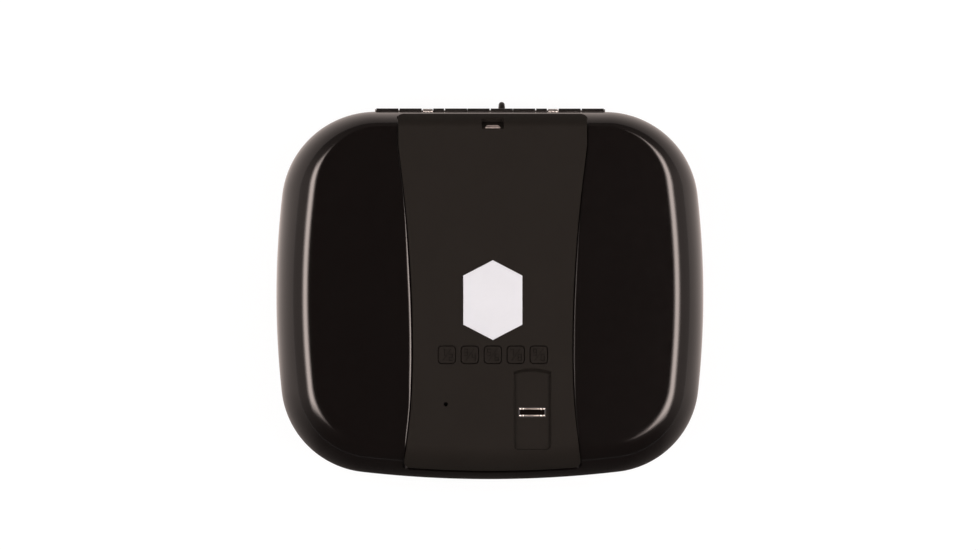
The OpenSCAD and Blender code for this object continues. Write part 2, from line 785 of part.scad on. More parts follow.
module across(half) {
    translate([-half, 0, 0]) rotate([90, 0, 90]) linear_extrude(2 * half) children();
}

module inner_cover() placed() color("#1d1d1f") {
    difference() {
        across(cover_x) cover_profile(0);
        across(cover_x - cover_side_t) cover_profile(cover_side_t);
        block([guide_x[0] - 1.5, cover_front - 1, 52], [guide_x[1] + guide_w + 2, -86, 70]);
        for (x = striker_x) block([x - hook_reach - 1.5, striker_y - 3.4, cover_z - 1],
            [x + hook_neck + 1.5, striker_y + 3.4, cover_z + cover_t + 1]);
        block([-well[0], well[1], cover_z - 1], [well[0], well[2], cover_z + cover_t + 1]);
        for (s = [-1, 1]) for (y = boss_cover_y) rod_z([s * boss_cover_x, y], 1.4, cover_z - 1, cover_z + 3);
    }
    for (s = [-1, 1]) mirror([s < 0 ? 1 : 0, 0, 0]) {
        block([door_half + 0.3, door_front - 1, cover_z - 2.7], [door_half + 2.6, door_rear, cover_z]);
        block([door_half - 1.7, door_front - 1, cover_z - 2.7], [door_half + 0.4, door_rear, cover_z - 2]);
    }
}

module battery_door() placed() color("#242426") {
    difference() {
        block([-door_half, door_front, door_z], [door_half, door_rear, door_z + door_t]);
        for (i = [0:4]) block([-9, 80 + 3 * i, door_z - 1], [9, 81.2 + 3 * i, door_z + 0.6]);
    }
}

module lid_foam(s) placed() color(foam_grey) {
    round_plate([s * 82, 7], [42, 150], 16, 52, lid_ceiling_z);
}
module lid_foam_left() lid_foam(-1);
module lid_foam_right() lid_foam(1);

// ---------------------------------------------------------------- batteries

cell_r = 7.25;
cell_z = 51;
cell_front = 24.2;
cell_len = 49.5;
cell_pitch = 15.2;
function cell_x(k) = (k - 2.5) * cell_pitch;
holder_t = 1.5;
holder_top = cell_z + cell_r + 0.4 + holder_t;

module battery_holder() placed() color("#17171a") {
    difference() {
        block([-well[0] - holder_t, well[1] - holder_t, cover_z + cover_t],
            [well[0] + holder_t, well[2] + holder_t, holder_top]);
        block([-well[0], well[1], cover_z], [well[0], well[2], holder_top - holder_t]);
    }
}

module battery(k) placed() {
    flip = k % 2 == 0;
    color("#c8a24a") rod_y(cell_x(k), cell_z, cell_r - 0.05, cell_front, cell_front + cell_len - 1);
    color(steel) rod_y(cell_x(k), cell_z, 2.7, cell_front - (flip ? 1 : 0.01),
        cell_front + cell_len - (flip ? 1 : 0));
}
module battery_1() battery(1);
module battery_2() battery(2);
module battery_3() battery(3);
module battery_4() battery(4);

module battery_contacts() placed() color(steel) for (k = [1:4]) {
    block([cell_x(k) - 5, well[1], cell_z - 5], [cell_x(k) + 5, well[1] + 0.6, cell_z + 5]);
    rod_y(cell_x(k), cell_z, 3, well[1] + 0.5, cell_front - 1);
    block([cell_x(k) - 5, well[2] - 0.6, cell_z - 5], [cell_x(k) + 5, well[2], cell_z + 5]);
    rod_y(cell_x(k), cell_z, 3, cell_front + cell_len, well[2] - 0.5);
}

// -------------------------------------------------------------------- latch

frame_z = 56;
frame_t = 1.5;
frame_front = -97;
frame_rear = -62;
bar_front = -99;
bar_rear = -89;
bar_left = -54;
bar_right = 48;
guide_x = [-50, 38];
guide_w = 8;
gear_module = 0.8;
gear_teeth = 14;
gear_pa = 25;
gear_backlash = 0.06;
gear_r = gear_module * gear_teeth / 2;
rack_line = bar_z + bar_t + 1.6;
pinion_z = rack_line + gear_r;
pinion_y = [-97, -91.5];
gearbox_y = [-87, -78];
motor_rear = -63;

module latch_frame() placed() color(steel) {
    difference() {
        union() {
            block([-51, frame_front, frame_z], [47, frame_rear, frame_z + frame_t]);
            for (s = [-1, 1]) rod_z([s * post_frame.x, post_frame.y], 4, frame_z, frame_z + frame_t);
            for (x = guide_x)
                block([x, bar_front - 1.8, bar_z - 1.8], [x + guide_w, bar_rear + 1.8, frame_z + frame_t]);
            block([-6, gearbox_y[0], pinion_z + 5], [6, motor_rear, frame_z + 0.5]);
        }
        for (x = guide_x)
            block([x - 1, bar_front - 0.3, bar_z - 0.3],
                [x + guide_w + 1, bar_rear + 0.3, bar_z + bar_t + 0.3]);
        for (s = [-1, 1]) rod_z([s * post_frame.x, post_frame.y], 1.2, frame_z - 1, frame_z + 3);
    }
}

module latch_gearbox() placed() color("#b08d4c") {
    difference() {
        block([-6, gearbox_y[0], pinion_z - 5], [6, gearbox_y[1], pinion_z + 5]);
        rod_y(0, pinion_z, 1.5 + running_gap, gearbox_y[0] - 1, gearbox_y[0] + 5);
    }
}

module latch_motor() placed() color(steel) {
    intersection() {
        rod_y(0, pinion_z, 6, gearbox_y[1], motor_rear);
        block([-6, gearbox_y[1], pinion_z - 5], [6, motor_rear, pinion_z + 5]);
    }
    rod_y(0, pinion_z, 2, motor_rear, motor_rear + 1);
}

module latch_switch() placed() color("#1a1a1c") {
    block([20, -86.8, frame_z - 6.5], [32.8, -81, frame_z]);
    block([22, -86.8, frame_z - 7], [28, -85.8, frame_z - 6.4]);
}

function inv(a) = tan(a) * 180 / PI - a;
base_r = gear_r * cos(gear_pa);
tip_r = gear_r + gear_module;
root_r = gear_r - 1.25 * gear_module;
// Half angle of a tooth at radius r
function tooth_half(r) =
    90 / gear_teeth - gear_backlash / gear_r * 180 / PI + inv(gear_pa) - inv(acos(min(1, base_r / r)));
function polar(r, a) = r * [cos(a), sin(a)];
flank = [for (i = [0:4]) base_r + 0.01 + (tip_r - base_r - 0.01) * i / 4];

module pinion_outline() {
    polygon([for (t = [0:gear_teeth - 1]) let (a = (t + 0.5) * 360 / gear_teeth - 90) each concat(
        [polar(root_r, a - tooth_half(base_r + 0.01))],
        [for (r = flank) polar(r, a - tooth_half(r))],
        [for (i = [4:-1:0]) polar(flank[i], a + tooth_half(flank[i]))],
        [polar(root_r, a + tooth_half(base_r + 0.01))]
    )]);
}

module latch_pinion() placed() color("#d9d2bd") {
    translate([0, pinion_y[1], pinion_z]) rotate([90, 0, 0])
        linear_extrude(pinion_y[1] - pinion_y[0]) pinion_outline();
    rod_y(0, pinion_z, 1.5, pinion_y[0] - 0.8, gearbox_y[0] + 4);
}

rack_pitch = PI * gear_module;
module rack_outline() {
    low = rack_line - 1.25 * gear_module;
    root_half = rack_pitch / 4 - gear_backlash / 2 + 1.25 * gear_module * tan(gear_pa);
    tip_half = rack_pitch / 4 - gear_backlash / 2 - gear_module * tan(gear_pa);
    for (k = [-5:2]) translate([k * rack_pitch, 0])
        polygon([[-root_half, low - 0.1], [-tip_half, rack_line + gear_module],
            [tip_half, rack_line + gear_module], [root_half, low - 0.1]]);
    translate([-5.6 * rack_pitch, bar_z + 1]) square([8.2 * rack_pitch, low - bar_z - 1]);
}

module latch_bar() placed() color(steel) {
    difference() {
        block([bar_left, bar_front, bar_z], [bar_right, bar_rear, bar_z + bar_t]);
        for (x = striker_x) block([x - hook_reach - 0.6, striker_y - 2.7, bar_z - 1],
            [x + hook_neck + 0.6, striker_y + 2.7, bar_z + bar_t + 1]);
    }
    translate([0, -91.5, 0]) rotate([90, 0, 0]) linear_extrude(5.5) rack_outline();
}

// -------------------------------------------------------------------- leads

lead_r = 0.7;
module battery_leads() placed() color(lead_red) for (s = [-1, 1])
    wire(smooth([[s * 2 - 20, 19.9, 50], [s * 2 - 20, 8, 49], [s * 2 - 26, -8, 46], [s * 2 - 30, -22, 48],
        [s * 2 - 30, -33, 52], [s * 2 - 30, -33, board_z - 2.3]]), lead_r);
module motor_leads() placed() color("#2a2a30") for (s = [-1, 1])
    wire(smooth([[s * 3, -61.9, pinion_z - 1], [s * 3, -56, pinion_z - 1], [s * 2 + 4, -50, 50],
        [s * 2 + 8, -44, 54], [s * 2 + 10, -44, board_z - 1.6]]), lead_r);

base_shell();
base_foam();
foot_front_left();
foot_front_right();
foot_rear_left();
foot_rear_right();
striker_bracket();
striker_screws();
tether_loop();
tether_nuts();
hinge_base_leaf();
hinge_pin();
hinge_base_rivets();
lift_spring_left();
lift_spring_right();
lid_shell();
console();
badge();
fingerprint_sensor();
sensor_bezel();
usb_port();
keypad_mat();
key_1();
key_2();
key_3();
key_4();
key_5();
control_board();
buzzer();
inner_cover();
lid_foam_left();
lid_foam_right();
hinge_lid_leaf();
hinge_lid_rivets();
latch_frame();
latch_gearbox();
latch_motor();
latch_switch();
latch_bar();
latch_pinion();
battery_holder();
battery_1();
battery_2();
battery_3();
battery_4();
battery_contacts();
battery_door();
sensor_ribbon();
battery_leads();
motor_leads();
cover_screws();
frame_screws();
board_screws();
console_screws();
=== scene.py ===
"""Looks of the biometric lock box: shells, console, keys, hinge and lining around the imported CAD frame.

Shapes are worked out in millimetres in the case's own frame (origin at the middle of the case, Z up from the
floor) and go into the shared frame through to_frame(). Front is -Y.
"""

import math

import bmesh
import bpy
import numpy as np
from mathutils import Matrix, Vector


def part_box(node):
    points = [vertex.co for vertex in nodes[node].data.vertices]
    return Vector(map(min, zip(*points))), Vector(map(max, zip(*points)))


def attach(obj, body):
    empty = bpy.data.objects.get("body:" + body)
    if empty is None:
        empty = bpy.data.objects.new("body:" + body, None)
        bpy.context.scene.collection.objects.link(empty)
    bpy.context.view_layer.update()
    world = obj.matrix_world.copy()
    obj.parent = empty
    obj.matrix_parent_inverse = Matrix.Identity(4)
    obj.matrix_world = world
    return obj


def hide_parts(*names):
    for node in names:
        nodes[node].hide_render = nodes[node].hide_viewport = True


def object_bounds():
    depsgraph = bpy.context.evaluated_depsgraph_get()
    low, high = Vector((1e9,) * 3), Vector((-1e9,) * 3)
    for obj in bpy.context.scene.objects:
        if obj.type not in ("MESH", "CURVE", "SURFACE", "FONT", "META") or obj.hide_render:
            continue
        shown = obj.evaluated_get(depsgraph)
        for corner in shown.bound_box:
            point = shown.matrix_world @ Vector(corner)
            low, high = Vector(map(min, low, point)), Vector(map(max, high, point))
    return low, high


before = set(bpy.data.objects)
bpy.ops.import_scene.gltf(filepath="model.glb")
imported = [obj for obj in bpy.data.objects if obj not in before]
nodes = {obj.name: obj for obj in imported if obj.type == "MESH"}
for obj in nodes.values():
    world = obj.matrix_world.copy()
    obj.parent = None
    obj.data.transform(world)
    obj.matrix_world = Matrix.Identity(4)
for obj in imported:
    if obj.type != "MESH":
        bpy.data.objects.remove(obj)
cad_lo, cad_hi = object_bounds()

MM = 0.001

# ------------------------------------------------------------------ sizes, from the frame where it has them

base_lo, base_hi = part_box("base_shell")
lid_lo, lid_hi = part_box("lid_shell")
SHIFT_Y = (base_lo.y + base_hi.y) / 2 / MM
HALF_W = base_hi.x / MM
HALF_D = (base_hi.y - base_lo.y) / 2 / MM
RIM_LID = lid_lo.z / MM
PLATEAU = lid_hi.z / MM
TOP = cad_hi.z / MM
PARTING = RIM_LID - 0.3
RIM_BASE = PARTING - 0.3
FLOOR_H = base_lo.z / MM
LID_WALL = 2.5
BASE_WALL = 4.0
CORNERS = (58.5, 56.7, 543.0, 702.0)  # rear corner, front corner, side bow, front bow
SHOULDERS = (21.4, 21.3, 10.2)  # side, front, rear
PLATEAU_R = 38.0
LID_RISE = PLATEAU - RIM_LID
CEILING = PLATEAU - LID_WALL
CONSOLE_TOP = TOP - 0.6
CONSOLE_RISE = CONSOLE_TOP - PLATEAU
CONSOLE_SINK = 1.2
MOUNT_X, MOUNT_Y = 75, 60
FOOT_X, FOOT_Y, FOOT_R = 95, 72, 8.0
ROUND_STEPS = 48
ARC_STEPS = 6  # a plan outline gets whole multiples of this along each of its arcs

plateau_front = HALF_D - SHOULDERS[1]
plateau_rear = HALF_D - SHOULDERS[2]


def smoothstep(edge0, edge1, x):
    t = np.clip((np.asarray(x, float) - edge0) / (edge1 - edge0), 0.0, 1.0)
    return t * t * (3 - 2 * t)


# ------------------------------------------------------------------ outlines (N x 2 arrays, clockwise)


def arc(centre, radius, a, b, steps):
    angles = np.radians(np.linspace(a, b, steps + 1))
    return np.array(centre) + radius * np.stack([np.cos(angles), np.sin(angles)], 1)


def meet(p, rp, q, rq):
    """The point at distance rp from p and rq from q, on the front right side."""
    p, q = np.array(p), np.array(q)
    d = np.linalg.norm(q - p)
    a = (rp * rp - rq * rq + d * d) / (2 * d)
    e = (q - p) / d
    return p + a * e + math.sqrt(rp * rp - a * a) * np.array([e[1], -e[0]])


def heading(p, q):
    return math.degrees(math.atan2(q[1] - p[1], q[0] - p[0]))


def plan(half_w, front, rear, r_rear, r_front, r_side, r_bow):
    """Rounded outline with bowed sides and front, as in the CAD part but finer."""
    side_c = (half_w - r_side, 0)
    rear_c = (side_c[0] + math.sqrt((r_side - r_rear) ** 2 - (rear - r_rear) ** 2), rear - r_rear)
    bow_c = (0, r_bow - front)
    front_c = meet(side_c, r_side - r_front, bow_c, r_bow - r_front)
    a1, a2, a3 = heading(side_c, rear_c), heading(side_c, front_c), heading(bow_c, front_c)
    right = np.concatenate([
        arc(rear_c, r_rear, 90, a1, 8 * ARC_STEPS),
        arc(side_c, r_side, a1, a2, 6 * ARC_STEPS)[1:],
        arc(front_c, r_front, a2, a3, 8 * ARC_STEPS)[1:],
        arc(bow_c, r_bow, a3, -90, 4 * ARC_STEPS)[1:],
    ])
    left = right[-2::-1] * [-1, 1]
    ease = np.linspace(0, 1, 2 * ARC_STEPS + 1)[1:-1, None]
    rear_edge = left[-1] * (1 - ease) + right[0] * ease
    return np.concatenate([right, left, rear_edge])


def case_plan(u=0.0):
    r_rear, r_front, r_side, r_bow = CORNERS
    return plan(HALF_W - u, HALF_D - u, HALF_D - u, r_rear - u, r_front - u, r_side - u, r_bow - u)


def plateau_plan(u=0.0):
    side, front, _ = SHOULDERS
    return plan(HALF_W - side - u, plateau_front - u, plateau_rear - u, PLATEAU_R - u, PLATEAU_R - u,
                CORNERS[2] - side - u, CORNERS[3] - front - u)


def round_rect(centre, size, r, steps=8):
    (cx, cy), (w, d) = centre, size
    r = max(r, 0.01)
    corners = [(1, 1, 90, 0), (1, -1, 0, -90), (-1, -1, -90, -180), (-1, 1, 180, 90)]
    return np.concatenate([
        arc((cx + sx * (w / 2 - r), cy + sy * (d / 2 - r)), r, a, b, steps) for sx, sy, a, b in corners
    ])


def at(outline, z):
    return np.column_stack([outline, np.full(len(outline), z)])


def quarter(radius, steps, start=0.0):
    """(inward, down) pairs of a round edge, from its upright side to its flat top."""
    return [(radius * (1 - math.cos(a)), radius * (1 - math.sin(a)))
            for a in np.linspace(start, math.pi / 2, steps)]


def circle_at(centre, radius, steps=ROUND_STEPS):
    return arc(centre, radius, 0, -360, steps)[:-1]


# ------------------------------------------------------------------ mesh building


def to_frame(points):
    return (np.asarray(points, float) + [0, SHIFT_Y, 0]) * MM


def add_object(name, points, faces, smooth=30):
    mesh = bpy.data.meshes.new(name)
    mesh.from_pydata(to_frame(points).tolist(), [], [list(f) for f in faces])
    return add_mesh(name, mesh, smooth)


def add_mesh(name, mesh, smooth=30):
    mesh.validate()
    ob = bpy.data.objects.new(name, mesh)
    bpy.context.scene.collection.objects.link(ob)
    soften(ob, smooth)
    return ob


def soften(ob, smooth):
    """Smooth shading that stays sharp across edges steeper than the given angle."""
    ob.data.shade_smooth()
    ob.data.set_sharp_from_angle(angle=math.radians(smooth))


def loft_faces(count, rings):
    """Side and end faces of a stack of rings that run clockwise, lowest first."""
    faces = []
    for k in range(rings - 1):
        for i in range(count):
            j = (i + 1) % count
            a, b = k * count, (k + 1) * count
            faces.append((a + j, a + i, b + i, b + j))
    faces.append(list(range(count)))
    faces.append([(rings - 1) * count + i for i in reversed(range(count))])
    return faces


def loft(name, rings, smooth=30):
    return add_object(name, np.concatenate(rings), loft_faces(len(rings[0]), len(rings)), smooth)


def block(name, lo, hi):
    lo, hi = np.array(lo, float), np.array(hi, float)
    mid, size = (lo + hi) / 2, hi - lo
    return loft(name, [at(round_rect(mid[:2], size[:2], 0.01, 1), z) for z in (lo[2], hi[2])])


def cylinder(name, start, end, radius, chamfer=0.0):
    """Round bar between two points, with chamfered ends."""
    start, end = np.array(start, float), np.array(end, float)
    axis = (end - start) / np.linalg.norm(end - start)
    side = np.cross(axis, [0.3, 0.9, 0.2])
    side /= np.linalg.norm(side)
    other = np.cross(axis, side)
    angles = np.linspace(0, -2 * math.pi, ROUND_STEPS, endpoint=False)[:, None]
    circle = np.cos(angles) * side + np.sin(angles) * other
    stack = [(start, radius - chamfer), (start + axis * chamfer, radius),
             (end - axis * chamfer, radius), (end, radius - chamfer)]
    if not chamfer:
        stack = [stack[1], stack[2]]
    return loft(name, [p + circle * r for p, r in stack])


def tube(name, path, radius, steps):
    """Round wire along a list of points, turned with the least twist."""
    path = np.asarray(path, float)
    tangent = np.gradient(path, axis=0)
    tangent /= np.linalg.norm(tangent, axis=1)[:, None]
    side = np.cross(tangent[0], [0.31, 0.17, 0.93])
    side /= np.linalg.norm(side)
    angles = np.linspace(0, -2 * math.pi, steps, endpoint=False)[:, None]
    rings = []
    for p, t in zip(path, tangent):
        side = side - t * (side @ t)
        side /= np.linalg.norm(side)
        rings.append(p + radius * (np.cos(angles) * side + np.sin(angles) * np.cross(t, side)))
    return loft(name, rings)


def combine(target, others, operation="DIFFERENCE", smooth=30):
    """Cuts the other objects out of the target, or adds them to it, and removes them."""
    for other in others:
        step = target.modifiers.new("combine", "BOOLEAN")
        step.operation = operation
        step.object = other
        step.solver = "MANIFOLD"
    mesh = bpy.data.meshes.new_from_object(target.evaluated_get(bpy.context.evaluated_depsgraph_get()))
    target.modifiers.clear()
    target.data = mesh
    for other in others:
        bpy.data.objects.remove(other)
    soften(target, smooth)
    return target


def join(name, parts, smooth=30):
    """One object from several separate closed shells."""
    mesh = bmesh.new()
    for part in parts:
        mesh.from_mesh(part.data)
    made = bpy.data.meshes.new(name)
    mesh.to_mesh(made)
    mesh.free()
    for part in parts:
        bpy.data.objects.remove(part)
    return add_mesh(name, made, smooth)


def weigh_normals(ob):
    step = ob.modifiers.new("flat faces lead", "WEIGHTED_NORMAL")
    step.keep_sharp = True
    step.weight = 80


def place(ob, body, material, slot, *replaced):
    ob.data.materials.clear()
    ob.data.materials.append(material)
    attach(ob, body)
    if replaced:
        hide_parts(*replaced)
    return ob


# ------------------------------------------------------------------ materials


def new_material(name):
    material = bpy.data.materials.new(name)
    material.use_nodes = True
    tree = material.node_tree
    return material, tree, tree.nodes["Principled BSDF"]


def ramp(tree, source, stops):
    node = tree.nodes.new("ShaderNodeValToRGB")
    node.color_ramp.elements[0].position, node.color_ramp.elements[0].color = stops[0]
    node.color_ramp.elements[1].position, node.color_ramp.elements[1].color = stops[-1]
    for position, colour in stops[1:-1]:
        node.color_ramp.elements.new(position).color = colour
    tree.links.new(source, node.inputs["Fac"])
    return node.outputs["Color"]


def noise(tree, scale, detail=4, roughness=0.5, stretch=(1, 1, 1)):
    """Noise in the object's own coordinates; scale is in waves per metre."""
    coords = tree.nodes.new("ShaderNodeTexCoord")
    mapping = tree.nodes.new("ShaderNodeMapping")
    mapping.inputs["Scale"].default_value = stretch
    node = tree.nodes.new("ShaderNodeTexNoise")
    node.inputs["Scale"].default_value = scale
    node.inputs["Detail"].default_value = detail
    node.inputs["Roughness"].default_value = roughness
    tree.links.new(coords.outputs["Object"], mapping.inputs["Vector"])
    tree.links.new(mapping.outputs["Vector"], node.inputs["Vector"])
    return node.outputs["Fac"]


def grey(value):
    return (value, value, value, 1.0)


def bump(tree, shader, height, strength, distance):
    node = tree.nodes.new("ShaderNodeBump")
    node.inputs["Strength"].default_value = strength
    node.inputs["Distance"].default_value = distance
    tree.links.new(height, node.inputs["Height"])
    tree.links.new(node.outputs["Normal"], shader.inputs["Normal"])


def plastic(name, dark, light, roughness, grain=2600, grain_strength=0.25, grain_depth=0.00002, specular=0.5):
    """Moulded plastic or rubber: faint tone and gloss variation, and a fine grain."""
    material, tree, shader = new_material(name)
    tone = noise(tree, 34, 5, 0.6)
    tree.links.new(ramp(tree, tone, [(0.3, (*dark, 1)), (0.72, (*light, 1))]), shader.inputs["Base Color"])
    wear = noise(tree, 150, 6, 0.65)
    tree.links.new(ramp(tree, wear, [(0.3, grey(roughness[0])), (0.75, grey(roughness[1]))]),
                   shader.inputs["Roughness"])
    shader.inputs["Specular IOR Level"].default_value = specular
    bump(tree, shader, noise(tree, grain, 3, 0.5), grain_strength, grain_depth)
    return material


def metal(name, colour, roughness, stretch=(1, 1, 1), scale=900, strength=0.15):
    """Metal with fine drawing or grinding marks along the stretched direction."""
    material, tree, shader = new_material(name)
    marks = noise(tree, scale, 4, 0.6, stretch)
    dark = tuple(c * 0.82 for c in colour)
    tree.links.new(ramp(tree, marks, [(0.3, (*dark, 1)), (0.7, (*colour, 1))]), shader.inputs["Base Color"])
    tree.links.new(ramp(tree, marks, [(0.25, grey(roughness[0])), (0.8, grey(roughness[1]))]),
                   shader.inputs["Roughness"])
    shader.inputs["Metallic"].default_value = 1.0
    bump(tree, shader, marks, strength, 0.00003)
    return material


def foam_material(name):
    """Closed-cell foam: pale cell walls, and each cell darkened towards its sunken middle as painted shade."""
    material, tree, shader = new_material(name)
    coords = tree.nodes.new("ShaderNodeTexCoord")
    cells = tree.nodes.new("ShaderNodeTexVoronoi")
    cells.inputs["Scale"].default_value = 900
    tree.links.new(coords.outputs["Object"], cells.inputs["Vector"])
    # Darker where the bump below sinks each cell: painted shade in the cell pits
    cell_pit_shade = [(0.0, (0.010, 0.010, 0.011, 1)), (0.55, (0.034, 0.034, 0.036, 1)),
             (0.9, (0.055, 0.055, 0.058, 1))]
    tone = ramp(tree, cells.outputs["Distance"], cell_pit_shade)
    tree.links.new(tone, shader.inputs["Base Color"])
    shader.inputs["Roughness"].default_value = 0.92
    shader.inputs["Sheen Weight"].default_value = 0.25
    shader.inputs["Sheen Roughness"].default_value = 0.6
    bump(tree, shader, cells.outputs["Distance"], 0.7, 0.0004)
    return material


def board_material(name):
    """Green solder mask over laminate, with the copper pour a shade lighter."""
    material, tree, shader = new_material(name)
    coords = tree.nodes.new("ShaderNodeTexCoord")
    traces = tree.nodes.new("ShaderNodeTexBrick")
    traces.inputs["Scale"].default_value = 160
    traces.inputs["Color1"].default_value = (0.010, 0.085, 0.030, 1)
    traces.inputs["Color2"].default_value = (0.014, 0.110, 0.042, 1)
    traces.inputs["Mortar"].default_value = (0.006, 0.045, 0.018, 1)
    traces.inputs["Mortar Size"].default_value = 0.03
    tree.links.new(coords.outputs["Object"], traces.inputs["Vector"])
    tree.links.new(traces.outputs["Color"], shader.inputs["Base Color"])
    gloss = ramp(tree, noise(tree, 400), [(0.3, grey(0.25)), (0.7, grey(0.4))])
    tree.links.new(gloss, shader.inputs["Roughness"])
    bump(tree, shader, traces.outputs["Fac"], 0.2, 0.00005)
    return material


case_gloss = plastic("case_gloss", (0.0062, 0.0046, 0.0043), (0.0070, 0.0053, 0.0049), (0.12, 0.15),
                     grain_strength=0.05, grain_depth=0.00001)
console_soft = plastic("console_soft", (0.0161, 0.0134, 0.0113), (0.0174, 0.0146, 0.0124), (0.5, 0.6),
                       grain=3400, grain_strength=0.2, grain_depth=0.00003, specular=0.03)
key_rubber = plastic("key_rubber", (0.0155, 0.0128, 0.0108), (0.0168, 0.0141, 0.0120), (0.5, 0.6),
                     grain=3600, grain_strength=0.2, grain_depth=0.00003, specular=0.03)
# Darker rubber for the floors of the engraved digits: painted shade in the engraving, not ink
key_engraving_shade = plastic("key_engraving_shade", (0.0068, 0.0051, 0.0042), (0.0080, 0.0060, 0.0050), (0.5, 0.6), grain=3600,
                  grain_strength=0.1, specular=0.03)
badge_paint = plastic("badge_paint", (0.755, 0.78, 0.83), (0.785, 0.81, 0.865), (0.35, 0.5), grain=1800,
                      grain_strength=0.06)
foot_rubber = plastic("foot_rubber", (0.008, 0.008, 0.008), (0.014, 0.014, 0.014), (0.7, 0.85), grain=1500,
                      grain_strength=0.5, grain_depth=0.00008)
inner_plastic = plastic("inner_plastic", (0.0085, 0.0085, 0.009), (0.0125, 0.0125, 0.013), (0.42, 0.55),
                        grain=1300, grain_strength=0.6, grain_depth=0.00007)
sensor_glass = plastic("sensor_glass", (0.004, 0.0025, 0.002), (0.006, 0.004, 0.003), (0.1, 0.16), grain=900,
                       grain_strength=0.04)
cell_film = plastic("cell_film", (0.30, 0.19, 0.04), (0.42, 0.27, 0.06), (0.25, 0.34), grain=500,
                    grain_strength=0.05)
amber_film = plastic("amber_film", (0.26, 0.10, 0.015), (0.36, 0.15, 0.022), (0.25, 0.35), grain=700,
                     grain_strength=0.1)
red_vinyl = plastic("red_vinyl", (0.30, 0.012, 0.012), (0.40, 0.018, 0.016), (0.4, 0.5), grain=1500,
                    grain_strength=0.1)
black_vinyl = plastic("black_vinyl", (0.010, 0.010, 0.012), (0.016, 0.016, 0.018), (0.4, 0.5), grain=1500,
                      grain_strength=0.1)
nylon = plastic("nylon", (0.52, 0.49, 0.40), (0.62, 0.58, 0.48), (0.4, 0.5), grain=1200, grain_strength=0.1)
foam = foam_material("foam_cells")
board_green = board_material("board_green")
black_steel = metal("black_steel", (0.055, 0.052, 0.050), (0.32, 0.48), (0.2, 1, 1))
bright_steel = metal("bright_steel", (0.74, 0.72, 0.70), (0.12, 0.24), (0.15, 1, 1))
dull_steel = metal("dull_steel", (0.50, 0.46, 0.44), (0.5, 0.62), strength=0.1)
spring_steel = metal("spring_steel", (0.62, 0.60, 0.58), (0.16, 0.28))
zinc = metal("zinc", (0.58, 0.59, 0.60), (0.3, 0.46), scale=420)
chrome = metal("chrome", (0.50, 0.46, 0.43), (0.34, 0.42), scale=300, strength=0.04)
chrome_contact = metal("chrome_contact", (0.95, 0.92, 0.89), (0.5, 0.55), scale=300, strength=0.04)
brass = metal("brass", (0.62, 0.42, 0.14), (0.28, 0.42), scale=500)

# ------------------------------------------------------------------ lid and base shells

LID_STEPS = 30
LID_STEPS_INSIDE = 16


def lid_rings(u, z0, z1, steps):
    """Rings of the rounded lid from its rim to the flat top, moved in by u."""
    low, high = case_plan(u), plateau_plan(u)
    return [at(high + (low - high) * math.cos(a), z0 + (z1 - z0) * math.sin(a))
            for a in np.linspace(0, math.pi / 2, steps + 1)]


WAIST = 49.6
WAIST_Y = -36.0
FLARE_REAR = 893.0
FLARE_FRONT = 445.0
FLARE_Y = (75.0, 94.0)
FLARE_EASE = 0.0008
CONSOLE_CORNER = 5.5
GROOVE = 0.5
FRONT_END = math.radians(47)
REAR_END = math.radians(45)
EDGE_R = 0.6
FLAT_STATIONS, END_STATIONS = 56, 26
ACROSS = 25


def console_half(y):
    v = min(y, FLARE_Y[1])
    flare = FLARE_REAR if v > WAIST_Y else FLARE_FRONT
    return WAIST + (v - WAIST_Y) ** 2 / (2 * flare) - FLARE_EASE * max(0.0, v - FLARE_Y[0]) ** 2


def shoulder(sign, start, width, a):
    """Point and unit normal of the lid's middle line at angle a on a shoulder."""
    n = np.array([sign * math.cos(a) / width, math.sin(a) / LID_RISE])
    return (sign * (start + width * math.cos(a)), RIM_LID + LID_RISE * math.sin(a)), n / np.linalg.norm(n)


def stations(extra):
    """Points and normals along the console, from its front end over the flat top to its rear end.

    A pocket that is cut for the console runs further down both shoulders, by extra.
    """
    front = FRONT_END - math.radians(extra * 1.6)
    rear = REAR_END - math.radians(extra * 1.2)
    first = [shoulder(-1, plateau_front, SHOULDERS[1], front + (math.pi / 2 - front) * i / END_STATIONS)
             for i in range(END_STATIONS)]
    middle = [((y, PLATEAU), np.array([0.0, 1.0]))
              for y in np.linspace(-plateau_front, plateau_rear, FLAT_STATIONS + 1)]
    last = [shoulder(1, plateau_rear, SHOULDERS[2], rear + (math.pi / 2 - rear) * i / END_STATIONS)
            for i in range(END_STATIONS - 1, -1, -1)]
    return first + middle + last


def bow_back(x, y):
    """The lid's front is bowed, so the console's front end bends back towards its sides."""
    return min(1.0, max(0.0, (-y - 60) / 30)) * x * x / (2 * CORNERS[3])


def console_rows(grow, side, extra):
    """Closed loops across the console. side(y, d) gives the right-hand profile as (outward, height) points.

    Y is the place along the case, and d is how far the loop is from the console's nearer end.
    """
    path = stations(extra)
    points = np.array([p for p, _ in path])
    run = np.concatenate([[0], np.cumsum(np.linalg.norm(np.diff(points, axis=0), axis=1))])
    loops = []
    for (p, n), s in zip(path, run):
        d = min(s, run[-1] - s)
        lost = 0.0 if d >= CONSOLE_CORNER else CONSOLE_CORNER - math.sqrt(
            CONSOLE_CORNER ** 2 - (CONSOLE_CORNER - d) ** 2)
        half = console_half(p[0]) + grow - lost
        profile = side(p[0], d)
        columns = [(half + out, h) for out, h in profile]
        inner = columns[-1]
        top = [(x, inner[1]) for x in np.linspace(inner[0] - 0.4, -inner[0] + 0.4, ACROSS)]
        over = columns + top + [(-x, h) for x, h in reversed(columns)]
        under = [(x, columns[0][1]) for x in np.linspace(-columns[0][0], columns[0][0], ACROSS)[1:-1]]
        loops.append([(x, p[0] + h * n[0] + bow_back(x, p[0]), p[1] + h * n[1]) for x, h in over + under])
    return [np.array(loop) for loop in loops]


